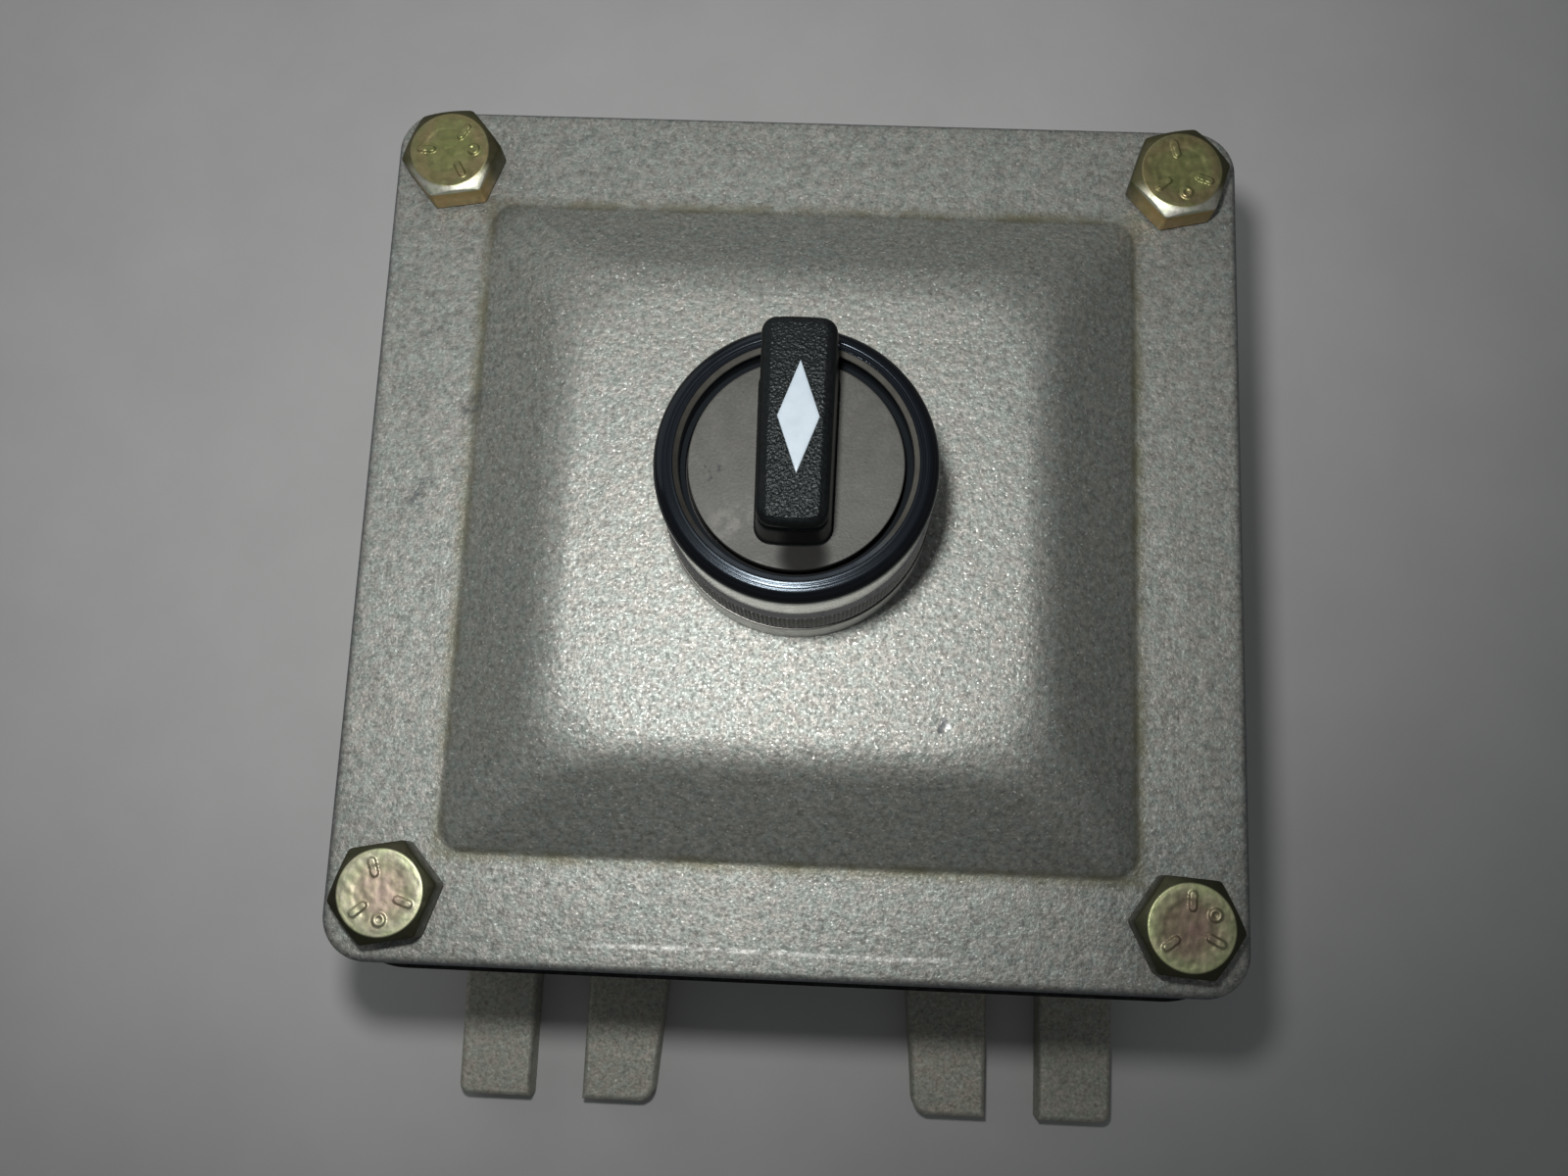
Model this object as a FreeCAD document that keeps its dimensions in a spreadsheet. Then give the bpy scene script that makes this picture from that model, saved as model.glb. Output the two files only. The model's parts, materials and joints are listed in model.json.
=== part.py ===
import FreeCAD, Part

# Surface-mounted selector switch in a cast aluminium box.
# Frame: origin at the centre of the box's back face, +Z out through the cover,
# +Y towards the lever's pointer, +X to the right of someone facing the cover.
# Millimetres throughout.

import math
import os

import Sketcher

from FreeCAD import Placement, Rotation, Vector

os.makedirs("parts", exist_ok=True)
doc = FreeCAD.newDocument("battery_switch")

# ---------------------------------------------------------------- dimensions
SIZES = {
    # box casting
    "box_base_half": 67.0, "box_corner": 9.0, "box_draft": 1.5, "box_rim_z": 61.5,
    "floor_thick": 6.0, "cavity_half": 61.0, "cavity_cut": 43.0,
    "lug_inner": 22.0, "lug_inner_tip": 24.6, "lug_outer": 62.0, "lug_outer_tip": 61.4,
    "lug_reach": 97.5, "lug_root": 62.0, "lug_thick": 6.5, "lug_corner": 3.0,
    "slot_pitch_half": 43.0, "slot_width_half": 5.0, "slot_end": 76.0,
    "entry_z": 34.0, "entry_wall_r": 11.7, "entry_boss_r": 17.0,
    "entry_face": 69.5, "entry_inner": 54.0,
    "earth_offset": 42.0, "earth_boss_r": 6.0, "earth_boss_top": 13.0, "earth_hole_r": 2.1,
    # gasket and cover
    "gasket_half": 70.85, "gasket_corner": 13.0, "gasket_thick": 1.5,
    "cover_half": 69.85, "cover_corner": 7.0, "flange_thick": 7.0, "flange_top_z": 70.0,
    "flange_edge": 1.2, "dome_foot": 53.0, "dome_foot_corner": 3.0, "dome_shoulder": 37.6,
    "dome_shoulder_corner": 8.0, "dome_rise": 10.0, "dome_blend": 10.0, "dome_root_blend": 1.5,
    "dome_inner_foot": 49.5, "dome_inner_step": 3.5, "dome_inner_top": 35.5, "dome_inner_rise": 8.5,
    "panel_hole_r": 15.25, "notch_half": 2.2, "notch_reach": 17.1,
    # cover bolts
    "bolt_offset": 59.4, "bolt_hole_r": 5.2, "bolt_tap_r": 4.267, "bolt_thread_r": 4.247,
    "bolt_shank_r": 4.72, "bolt_corner_r": 8.25, "bolt_head": 6.2, "bolt_grip": 8.5,
    "bolt_length": 25.4, "bolt_tap_depth": 21.0,
    # operator, outside the cover
    "collar_inner": 15.3, "collar_outer": 19.65, "collar_thick": 6.5,
    "nut_thread_r": 14.95, "nut_knurl_r": 19.5, "nut_outer": 19.0, "nut_foot_z": 86.5,
    "nut_knurl_top": 94.3, "nut_groove_r": 18.4, "nut_groove_top": 95.6, "nut_top_z": 103.5,
    "nut_step_z": 101.6, "nut_step_r": 16.85,
    "bezel_bore": 15.1, "bezel_bore_z": 102.9, "bezel_inner": 15.8, "bezel_skirt": 16.8,
    "bezel_foot_z": 101.7, "bezel_lip_z": 105.8, "bezel_lip_r": 16.4, "bezel_crest_r": 17.7,
    "bezel_crest_z": 106.4, "bezel_outer": 19.3,
    # operator body
    "bush_thread_r": 14.9, "flange_r": 20.0, "flange_foot_z": 67.0, "flange_head_z": 73.4,
    "operator_top": 101.5, "stem_bore_r": 5.3, "stem_bore_z": 95.5, "seal_bore_r": 4.9,
    "bush_bore_r": 6.0, "bush_bore_top": 90.0, "wheel_room_r": 13.4, "wheel_room_top": 77.0,
    "nib_half": 2.0, "nib_reach": 16.8, "nib_top": 77.5,
    "seal_outer": 20.0, "seal_thick": 1.6,
    "bearing_outer": 5.98, "bearing_inner": 4.05, "bearing_foot": 78.0,
    # rotating group
    "journal_r": 4.0, "spindle_foot": 62.5, "shoulder_z": 95.7, "spindle_top": 106.0,
    "neck_r": 3.0, "flat_depth": 0.8, "wheel_fit": 0.03,
    "oring_z": 91.8, "oring_wire": 0.9, "oring_mean": 3.95, "oring_room": 1.0,
    "clip_z": 77.1, "clip_thick": 0.7, "clip_outer": 5.6, "clip_seat": 3.0,
    "disc_r": 14.8, "disc_foot": 101.8, "disc_top": 104.5,
    "stem_r": 4.9, "stem_foot": 96.0,
    "lever_half": 5.1, "lever_tip_half": 5.45, "lever_heel": 11.0, "lever_tip": 17.6, "lever_top": 115.0,
    "lever_draft": 2.5, "lever_heel_corner": 1.8, "lever_tip_corner": 1.8, "lever_edge": 1.15,
    "overhang_from": 13.3, "overhang_z": 107.4,
    "diamond_x": 0.3, "diamond_y": 3.3, "diamond_long": 7.65, "diamond_wide": 2.75, "diamond_thick": 0.9,
    "diamond_proud": 0.06, "diamond_gap": 0.03,
    "pin_z": 99.0, "pin_r": 1.0, "pin_half": 4.8,
    # indexing
    "wheel_r": 11.0, "wheel_foot": 69.2, "wheel_top": 73.2, "notch_at": 11.2, "notch_r": 1.5,
    "turn_each_way": 45.0, "stop_at": 8.0, "stop_r": 1.0, "stop_foot": 69.4, "stop_top": 82.0,
    "stop_slot_half": 1.35,
    # cam and switching
    "cam_r": 12.5, "cam_top": 68.5, "cam_mid": 58.0, "cam_tilt": 13.263, "cam_bore_r": 5.0,
    "cam_bore_z": 62.0, "cam_screw_r": 1.45, "cam_screw_head": 4.6, "cam_screw_foot": 59.7,
    "plunger_at": 9.0, "plunger_r": 3.0, "plunger_ball_z": 54.72, "plunger_step": 41.15,
    "plunger_stem_r": 2.0, "plunger_foot": 34.0,
    "block_half_x": 21.0, "block_half_y": 20.0, "block_foot": 36.3, "base_foot": 28.0,
    "base_half_y": 29.0, "cam_room_r": 14.0, "cam_room_foot": 52.0, "guide_r": 3.08,
    "chamber_half_x": 3.8, "chamber_half_y": 14.0, "chamber_top": 46.0,
    "well_r": 3.6, "well_foot": 30.0, "strip_half": 3.0, "strip_near": 6.5, "strip_far": 27.5,
    "strip_thick": 1.0, "contact_at": 9.5, "contact_r": 2.0, "contact_thick": 1.0,
    "terminal_at": 24.5, "terminal_hole_r": 2.1, "terminal_tap_r": 1.75,
    "clamp_half": 3.6, "clamp_thick": 1.2, "small_shank_r": 1.7, "small_head_r": 3.3,
    "small_head": 2.4, "tie_at": 16.5, "tie_hole_r": 1.9, "tie_recess_r": 3.7, "tie_recess": 3.0,
    "tie_top": 71.8, "bridge_half_y": 12.0, "bridge_thick": 1.2,
    "coil_mean": 2.7, "coil_wire": 0.4, "coil_pitch": 2.2,
}

sheet = doc.addObject("Spreadsheet::Sheet", "sheet")
for number, (word, value) in enumerate(SIZES.items(), start=1):
    sheet.set("A%d" % number, word)
    sheet.set("B%d" % number, str(value))
    sheet.setAlias("B%d" % number, word)
doc.recompute()


class Dim:
    """A size that carries both its value and the sheet formula it comes from."""

    def __init__(self, value, text):
        self.v, self.t = value, text

    def __add__(self, other):
        other = dim(other)
        return Dim(self.v + other.v, "(%s + %s)" % (self.t, other.t))

    def __sub__(self, other):
        other = dim(other)
        return Dim(self.v - other.v, "(%s - %s)" % (self.t, other.t))

    def __mul__(self, other):
        other = dim(other)
        return Dim(self.v * other.v, "(%s * %s)" % (self.t, other.t))

    def __neg__(self):
        return Dim(-self.v, "(0 - %s)" % self.t)

    __radd__, __rmul__ = __add__, __mul__

    def __rsub__(self, other):
        return dim(other) - self


def dim(value):
    return value if isinstance(value, Dim) else Dim(float(value), "%.6g" % value)


class Sizes:
    def __getattr__(self, word):
        return Dim(SIZES[word], "sheet." + word)


s = Sizes()

# ---------------------------------------------------------------- helpers
NODES = []


def bind(obj, prop, size):
    obj.setExpression(prop, dim(size).t)


def new_body(name):
    body = doc.addObject("PartDesign::Body", name)
    body.Label = name
    NODES.append(body)
    return body


def new_sketch(body, name, role="XY_Plane", offset=0):
    sketch = body.newObject("Sketcher::SketchObject", name)
    plane = [f for f in body.Origin.OriginFeatures if f.Role == role][0]
    sketch.AttachmentSupport = [(plane, "")]
    sketch.MapMode = "FlatFace"
    offset = dim(offset)
    sketch.AttachmentOffset = Placement(Vector(0, 0, offset.v), Rotation())
    if offset.v:
        bind(sketch, "AttachmentOffset.Base.z", offset)
    return sketch


def pin_point(sketch, geo, pos, x, y):
    """Fixes one point of a sketch at sheet-driven coordinates."""
    for kind, axis, value in (("DistanceX", -2, dim(x)), ("DistanceY", -1, dim(y))):
        if abs(value.v) < 1e-9:
            sketch.addConstraint(
                Sketcher.Constraint("PointOnObject", geo, pos, axis)
            )
        else:
            at = sketch.addConstraint(
                Sketcher.Constraint(kind, -1, 1, geo, pos, value.v)
            )
            sketch.setExpression("Constraints[%d]" % at, value.t)


def outline(sketch, points):
    """A closed run of straight lines through sheet-driven corner points."""
    points = [(dim(x), dim(y)) for x, y in points]
    first = None
    count = len(points)
    geos = []
    for i, (x, y) in enumerate(points):
        x2, y2 = points[(i + 1) % count]
        geos.append(
            sketch.addGeometry(
                Part.LineSegment(Vector(x.v, y.v, 0), Vector(x2.v, y2.v, 0)), False
            )
        )
    for i in range(count):
        sketch.addConstraint(
            Sketcher.Constraint("Coincident", geos[i], 2, geos[(i + 1) % count], 1)
        )
    for i, (x, y) in enumerate(points):
        pin_point(sketch, geos[i], 1, x, y)
    return geos


def box_outline(sketch, x1, x2, y1, y2):
    return outline(sketch, [(x1, y1), (x2, y1), (x2, y2), (x1, y2)])


def circle(sketch, x, y, r):
    x, y, r = dim(x), dim(y), dim(r)
    geo = sketch.addGeometry(
        Part.Circle(Vector(x.v, y.v, 0), Vector(0, 0, 1), r.v), False
    )
    at = sketch.addConstraint(Sketcher.Constraint("Radius", geo, r.v))
    sketch.setExpression("Constraints[%d]" % at, r.t)
    pin_point(sketch, geo, 3, x, y)
    return geo


def rounded_square(sketch, half, corner):
    """Square with arc corners: lines and arcs in turn, held tangent."""
    half, corner = dim(half), dim(corner)
    flat = half.v - corner.v
    corners = [(1, 1, 0), (-1, 1, 90), (-1, -1, 180), (1, -1, 270)]
    arcs, lines = [], []
    for sx, sy, start in corners:
        a0, a1 = math.radians(start), math.radians(start + 90)
        arcs.append(
            sketch.addGeometry(
                Part.ArcOfCircle(
                    Part.Circle(Vector(sx * flat, sy * flat, 0), Vector(0, 0, 1), corner.v),
                    a0,
                    a1,
                ),
                False,
            )
        )
    for i in range(4):
        a, b = arcs[i], arcs[(i + 1) % 4]
        p = sketch.getPoint(a, 2)
        q = sketch.getPoint(b, 1)
        lines.append(sketch.addGeometry(Part.LineSegment(p, q), False))
    for i in range(4):
        sketch.addConstraint(Sketcher.Constraint("Tangent", arcs[i], 2, lines[i], 1))
        sketch.addConstraint(Sketcher.Constraint("Tangent", lines[i], 2, arcs[(i + 1) % 4], 1))
    for i, (sx, sy, start) in enumerate(corners):
        pin_point(sketch, arcs[i], 3, sx * (half - corner), sy * (half - corner))
    at = sketch.addConstraint(Sketcher.Constraint("Radius", arcs[0], corner.v))
    sketch.setExpression("Constraints[%d]" % at, corner.t)


def pad(body, sketch, length, name, down=False, taper=None):
    feature = body.newObject("PartDesign::Pad", name)
    feature.Profile = sketch
    feature.Length = dim(length).v
    bind(feature, "Length", length)
    feature.Reversed = down
    if taper is not None:
        feature.TaperAngle = dim(taper).v
        bind(feature, "TaperAngle", taper)
    body.Tip = feature
    sketch.Visibility = False
    return feature


def pocket(body, sketch, depth, name, up=False):
    """Cuts depth along -normal, or along +normal when up; the volume must drop."""
    doc.recompute()
    before = body.Shape.Volume
    feature = body.newObject("PartDesign::Pocket", name)
    feature.Profile = sketch
    feature.Length = dim(depth).v
    bind(feature, "Length", depth)
    feature.Reversed = up
    body.Tip = feature
    sketch.Visibility = False
    doc.recompute()
    if body.Shape.Volume > before - 1e-3:
        raise RuntimeError("%s removed nothing" % name)
    return feature


def revolve(body, sketch, name):
    feature = body.newObject("PartDesign::Revolution", name)
    feature.Profile = sketch
    feature.ReferenceAxis = (sketch, ["V_Axis"])
    feature.Angle = 360.0
    body.Tip = feature
    sketch.Visibility = False
    return feature


def turned(name, points):
    """A body turned about Z from its half section of (radius, height) points."""
    body = new_body(name)
    sketch = new_sketch(body, name + "_section", "XZ_Plane")
    outline(sketch, points)
    revolve(body, sketch, name + "_turned")
    doc.recompute()
    return body


def edges_where(shape, test):
    return ["Edge%d" % (i + 1) for i, e in enumerate(shape.Edges) if test(e)]


def fillet(body, test, radius, name, kind="Fillet"):
    doc.recompute()
    base = body.Tip
    names = edges_where(base.Shape, test)
    if not names:
        raise RuntimeError("%s found no edge" % name)
    feature = body.newObject("PartDesign::" + kind, name)
    feature.Base = (base, names)
    prop = "Radius" if kind == "Fillet" else "Size"
    setattr(feature, prop, dim(radius).v)
    bind(feature, prop, radius)
    body.Tip = feature
    doc.recompute()
    if "Invalid" in feature.State or feature.Shape.isNull():
        raise RuntimeError("%s failed" % name)
    return feature


def is_upright(edge):
    if edge.Curve.TypeId != "Part::GeomLine":
        return False
    d = edge.tangentAt(edge.FirstParameter)
    return abs(d.z) > 0.99


def at_height(edge, z, tol=0.01):
    box = edge.BoundBox
    return abs(box.ZMin - z) < tol and abs(box.ZMax - z) < tol


def cylinder(name, r, foot, top, x=0, y=0):
    obj = doc.addObject("Part::Cylinder", name)
    bind(obj, "Radius", r)
    bind(obj, "Height", dim(top) - foot)
    for axis, value in (("x", x), ("y", y), ("z", foot)):
        bind(obj, "Placement.Base." + axis, value)
    return obj


def block(name, x1, x2, y1, y2, z1, z2):
    obj = doc.addObject("Part::Box", name)
    for prop, a, b in (("Length", x1, x2), ("Width", y1, y2), ("Height", z1, z2)):
        bind(obj, prop, dim(b) - a)
    for axis, value in (("x", x1), ("y", y1), ("z", z1)):
        bind(obj, "Placement.Base." + axis, value)
    return obj


def fuse(name, parts):
    obj = doc.addObject("Part::MultiFuse", name)
    obj.Shapes = parts
    obj.Refine = True
    return obj


def cut(name, base, tool):
    obj = doc.addObject("Part::Cut", name)
    obj.Base, obj.Tool = base, tool
    return obj


def group(name, parts):
    obj = doc.addObject("Part::Compound", name)
    obj.Links = parts
    return node(obj, name)


def node(obj, name):
    obj.Label = name
    NODES.append(obj)
    return obj


def made(name, shape, at=(0, 0, 0), turn=0):
    obj = doc.addObject("Part::Feature", name)
    obj.Shape = shape
    obj.Placement = Placement(Vector(*at), Rotation(Vector(0, 0, 1), turn))
    return node(obj, name)


signs = ((-1, -1), (1, -1), (-1, 1), (1, 1))

# ---------------------------------------------------------------- box casting
box = new_body("box_body")
sk = new_sketch(box, "box_plan")
rounded_square(sk, s.box_base_half, s.box_corner)
pad(box, sk, s.box_rim_z, "box_walls", taper=s.box_draft)

sk = new_sketch(box, "lug_plan")
for sx, sy in signs:
    outline(sk, [
        (sx * s.lug_inner, sy * s.lug_root),
        (sx * s.lug_inner_tip, sy * s.lug_reach),
        (sx * s.lug_outer_tip, sy * s.lug_reach),
        (sx * s.lug_outer, sy * s.lug_root),
    ])
pad(box, sk, s.lug_thick, "lugs")

sk = new_sketch(box, "entry_plan", "XZ_Plane", s.entry_inner)
circle(sk, 0, s.entry_z, s.entry_boss_r)
pad(box, sk, s.entry_face - s.entry_inner, "entry_boss_outside")

sk = new_sketch(box, "cavity_plan", offset=s.box_rim_z)
outline(sk, [
    (s.cavity_half, -s.cavity_cut), (s.cavity_half, s.cavity_cut),
    (s.cavity_cut, s.cavity_half), (-s.cavity_cut, s.cavity_half),
    (-s.cavity_half, s.cavity_cut), (-s.cavity_half, -s.cavity_cut),
    (-s.cavity_cut, -s.cavity_half), (s.cavity_cut, -s.cavity_half),
])
pocket(box, sk, s.box_rim_z - s.floor_thick, "cavity")

sk = new_sketch(box, "entry_inside_plan", "XZ_Plane", s.entry_inner)
circle(sk, 0, s.entry_z, s.entry_boss_r)
pad(box, sk, s.cavity_half - s.entry_inner + 2, "entry_boss_inside")

sk = new_sketch(box, "entry_bore_plan", "XZ_Plane", s.entry_face + 3)
circle(sk, 0, s.entry_z, s.entry_wall_r)
pocket(box, sk, s.entry_face + 6 - s.entry_inner, "entry_bore")

sk = new_sketch(box, "earth_plan")
circle(sk, -s.earth_offset, -s.earth_offset, s.earth_boss_r)
pad(box, sk, s.earth_boss_top, "earth_boss")
sk = new_sketch(box, "earth_hole_plan", offset=s.earth_boss_top)
circle(sk, -s.earth_offset, -s.earth_offset, s.earth_hole_r)
pocket(box, sk, 10, "earth_hole")

sk = new_sketch(box, "tap_plan", offset=s.box_rim_z)
for sx, sy in signs:
    circle(sk, sx * s.bolt_offset, sy * s.bolt_offset, s.bolt_tap_r)
pocket(box, sk, s.bolt_tap_depth, "bolt_taps")

fillet(box, lambda e: is_upright(e) and abs(abs(e.BoundBox.Center.y) - SIZES["lug_reach"]) < 0.01
       and abs(abs(e.BoundBox.Center.x) - SIZES["lug_inner_tip"]) < 0.1, s.lug_corner, "lug_inner_corners")
fillet(box, lambda e: is_upright(e) and abs(abs(e.BoundBox.Center.y) - SIZES["lug_reach"]) < 0.01
       and abs(abs(e.BoundBox.Center.x) - SIZES["lug_outer_tip"]) < 0.1, 1.8, "lug_outer_corners")

fillet(box, lambda e: at_height(e, SIZES["lug_thick"]) and abs(abs(e.BoundBox.Center.y) - SIZES["box_base_half"]) < 0.5
       and e.BoundBox.XLength > 20, 2.0, "lug_wall_blend")

sk = new_sketch(box, "slot_plan", offset=s.lug_thick + 2)
for sx, sy in signs:
    box_outline(sk, sx * s.slot_pitch_half - s.slot_width_half, sx * s.slot_pitch_half + s.slot_width_half,
                sy * s.slot_end, sy * (s.lug_reach + 4))
pocket(box, sk, s.lug_thick + 4, "slots")
sk = new_sketch(box, "slot_end_plan", offset=s.lug_thick + 2)
for sx, sy in signs:
    circle(sk, sx * s.slot_pitch_half, sy * s.slot_end, s.slot_width_half)
pocket(box, sk, s.lug_thick + 4, "slot_ends")

fillet(box, lambda e: at_height(e, SIZES["lug_thick"]) and abs(e.BoundBox.Center.y) > SIZES["box_base_half"] + 0.5,
       0.9, "lug_top_edges")

# ---------------------------------------------------------------- gasket
gasket = new_body("cover_gasket")
sk = new_sketch(gasket, "gasket_plan", offset=s.box_rim_z)
rounded_square(sk, s.gasket_half, s.gasket_corner)
pad(gasket, sk, s.gasket_thick, "gasket_sheet")
sk = new_sketch(gasket, "gasket_window_plan", offset=s.box_rim_z + 3)
outline(sk, [
    (s.cavity_half, -s.cavity_cut), (s.cavity_half, s.cavity_cut),
    (s.cavity_cut, s.cavity_half), (-s.cavity_cut, s.cavity_half),
    (-s.cavity_half, s.cavity_cut), (-s.cavity_half, -s.cavity_cut),
    (-s.cavity_cut, -s.cavity_half), (s.cavity_cut, -s.cavity_half),
])
pocket(gasket, sk, 5, "gasket_window")
sk = new_sketch(gasket, "gasket_hole_plan", offset=s.box_rim_z + 3)
for sx, sy in signs:
    circle(sk, sx * s.bolt_offset, sy * s.bolt_offset, s.bolt_hole_r)
pocket(gasket, sk, 5, "gasket_holes")

# ---------------------------------------------------------------- cover
cover = new_body("cover")
sk = new_sketch(cover, "flange_plan", offset=s.flange_top_z - s.flange_thick)
rounded_square(sk, s.cover_half, s.cover_corner)
pad(cover, sk, s.flange_thick, "flange")
fillet(cover, lambda e: at_height(e, SIZES["flange_top_z"]), s.flange_edge, "flange_top_edge")

foot = new_sketch(cover, "dome_foot_plan", offset=s.flange_top_z)
rounded_square(foot, s.dome_foot, s.dome_foot_corner)
crown = new_sketch(cover, "dome_shoulder_plan", offset=s.flange_top_z + s.dome_rise)
rounded_square(crown, s.dome_shoulder, s.dome_shoulder_corner)
dome = cover.newObject("PartDesign::AdditiveLoft", "dome")
dome.Profile = foot
dome.Sections = [crown]
dome.Ruled = True
cover.Tip = dome
fillet(cover, lambda e: at_height(e, SIZES["flange_top_z"] + SIZES["dome_rise"]), s.dome_blend, "dome_blend_edge")
fillet(cover, lambda e: at_height(e, SIZES["flange_top_z"]) and abs(e.BoundBox.Center.x) < 54
       and abs(e.BoundBox.Center.y) < 54, s.dome_root_blend, "dome_root_edge")

sk = new_sketch(cover, "inner_step_plan", offset=s.flange_top_z - s.flange_thick)
rounded_square(sk, s.dome_inner_foot, 4)
pocket(cover, sk, s.dome_inner_step, "inner_step", up=True)
foot = new_sketch(cover, "inner_foot_plan", offset=s.flange_top_z - s.flange_thick + s.dome_inner_step)
rounded_square(foot, s.dome_inner_foot, 4)
crown = new_sketch(cover, "inner_crown_plan",
                   offset=s.flange_top_z - s.flange_thick + s.dome_inner_step + s.dome_inner_rise)
rounded_square(crown, s.dome_inner_top, 6)
hollow = cover.newObject("PartDesign::SubtractiveLoft", "dome_hollow")
hollow.Profile = foot
hollow.Sections = [crown]
hollow.Ruled = True
cover.Tip = hollow
doc.recompute()

sk = new_sketch(cover, "cover_hole_plan", offset=s.flange_top_z + 2)
for sx, sy in signs:
    circle(sk, sx * s.bolt_offset, sy * s.bolt_offset, s.bolt_hole_r)
pocket(cover, sk, s.flange_thick + 4, "cover_holes")
sk = new_sketch(cover, "panel_hole_plan", offset=s.flange_top_z + s.dome_rise + 2)
circle(sk, 0, 0, s.panel_hole_r)
pocket(cover, sk, 12, "panel_hole")
sk = new_sketch(cover, "panel_notch_plan", offset=s.flange_top_z + s.dome_rise + 2)
box_outline(sk, -s.notch_half, s.notch_half, s.panel_hole_r - 3, s.notch_reach)
pocket(cover, sk, 12, "panel_notch")

# ---------------------------------------------------------------- cover bolts
bolts = []
for index, ((sx, sy), angle) in enumerate(zip(signs, (12.0, -5.0, 10.0, 13.0))):
    head = doc.addObject("Part::Prism", "bolt_hex_%d" % index)
    head.Polygon = 6
    bind(head, "Circumradius", s.bolt_corner_r)
    bind(head, "Height", s.bolt_head)
    crown = doc.addObject("Part::Cone", "bolt_crown_%d" % index)
    bind(crown, "Radius1", s.bolt_corner_r + 8.6)
    bind(crown, "Radius2", s.bolt_corner_r - 1.38)
    bind(crown, "Height", s.bolt_head)
    for piece in (head, crown):
        piece.Placement = Placement(
            Vector(sx * SIZES["bolt_offset"], sy * SIZES["bolt_offset"], SIZES["flange_top_z"]),
            Rotation(Vector(0, 0, 1), angle),
        )
        bind(piece, "Placement.Base.x", sx * s.bolt_offset)
        bind(piece, "Placement.Base.y", sy * s.bolt_offset)
        bind(piece, "Placement.Base.z", s.flange_top_z)
    shaped = doc.addObject("Part::Common", "bolt_head_%d" % index)
    shaped.Base, shaped.Tool = head, crown
    x, y = sx * s.bolt_offset, sy * s.bolt_offset
    shank = cylinder("bolt_shank_%d" % index, s.bolt_shank_r, s.flange_top_z - s.bolt_grip,
                     s.flange_top_z + 1, x, y)
    thread = cylinder("bolt_thread_%d" % index, s.bolt_thread_r, s.flange_top_z - s.bolt_length,
                      s.flange_top_z + 1, x, y)
    bolts.append(fuse("cover_bolt_%d" % index, [shaped, shank, thread]))
group("cover_bolts", bolts)

# ---------------------------------------------------------------- earth screw
node(fuse("earth_screw_solid", [
    cylinder("earth_shank", s.earth_hole_r - 0.05, s.earth_boss_top - 8, s.earth_boss_top + 1,
             -s.earth_offset, -s.earth_offset),
    cylinder("earth_head", 4.4, s.earth_boss_top, s.earth_boss_top + 3, -s.earth_offset, -s.earth_offset),
]), "earth_screw")

# ---------------------------------------------------------------- operator stack
plateau = s.flange_top_z + s.dome_rise
turned("trim_collar", [
    (s.collar_inner, plateau), (s.collar_outer - 0.3, plateau), (s.collar_outer, plateau + 0.3),
    (s.collar_outer, plateau + s.collar_thick - 0.3), (s.collar_outer - 0.3, plateau + s.collar_thick),
    (s.collar_inner, plateau + s.collar_thick),
])
turned("ring_nut", [
    (s.nut_thread_r, s.nut_foot_z), (s.nut_knurl_r - 0.4, s.nut_foot_z), (s.nut_knurl_r, s.nut_foot_z + 0.4),
    (s.nut_knurl_r, s.nut_knurl_top - 0.3), (s.nut_groove_r, s.nut_knurl_top + 0.15),
    (s.nut_groove_r, s.nut_groove_top - 0.15), (s.nut_outer, s.nut_groove_top), (s.nut_outer, s.nut_top_z),
    (s.nut_step_r, s.nut_top_z), (s.nut_step_r, s.nut_step_z), (s.nut_thread_r, s.nut_step_z),
])
bezel = turned("bezel_ring", [
    (s.bezel_bore, s.bezel_foot_z), (s.bezel_skirt, s.bezel_foot_z), (s.bezel_skirt, s.nut_top_z),
    (s.bezel_outer - 0.3, s.nut_top_z), (s.bezel_outer, s.nut_top_z + 0.4),
    (s.bezel_outer, s.bezel_crest_z - 1.4), (s.bezel_outer - 0.25, s.bezel_crest_z - 0.75),
    (s.bezel_outer - 0.75, s.bezel_crest_z - 0.2), (s.bezel_crest_r, s.bezel_crest_z),
    (s.bezel_lip_r, s.bezel_crest_z - 0.1), (s.bezel_inner, s.bezel_lip_z),
    (s.bezel_inner, s.bezel_bore_z), (s.bezel_bore, s.bezel_bore_z),
])

operator = turned("operator_body", [
    (s.wheel_room_r, s.flange_foot_z), (s.flange_r, s.flange_foot_z), (s.flange_r, s.flange_head_z),
    (s.bush_thread_r, s.flange_head_z), (s.bush_thread_r, s.operator_top), (s.stem_bore_r, s.operator_top),
    (s.stem_bore_r, s.stem_bore_z), (s.seal_bore_r, s.stem_bore_z), (s.seal_bore_r, s.bush_bore_top),
    (s.bush_bore_r, s.bush_bore_top), (s.bush_bore_r, s.wheel_room_top), (s.wheel_room_r, s.wheel_room_top),
])
sk = new_sketch(operator, "nib_plan", offset=s.flange_head_z)
box_outline(sk, -s.nib_half, s.nib_half, s.bush_thread_r - 1, s.nib_reach)
pad(operator, sk, s.nib_top - s.flange_head_z, "nib")
sk = new_sketch(operator, "tie_tap_plan", offset=s.flange_foot_z)
circle(sk, 0, s.tie_at, s.terminal_tap_r)
circle(sk, 0, -s.tie_at, s.terminal_tap_r)
pocket(operator, sk, s.tie_top - s.flange_foot_z + 0.6, "tie_taps", up=True)
sk = new_sketch(operator, "stop_hole_plan", offset=s.wheel_room_top)
circle(sk, -s.stop_at, 0, s.stop_r + 0.01)
pocket(operator, sk, s.stop_top - s.wheel_room_top, "stop_hole", up=True)

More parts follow.
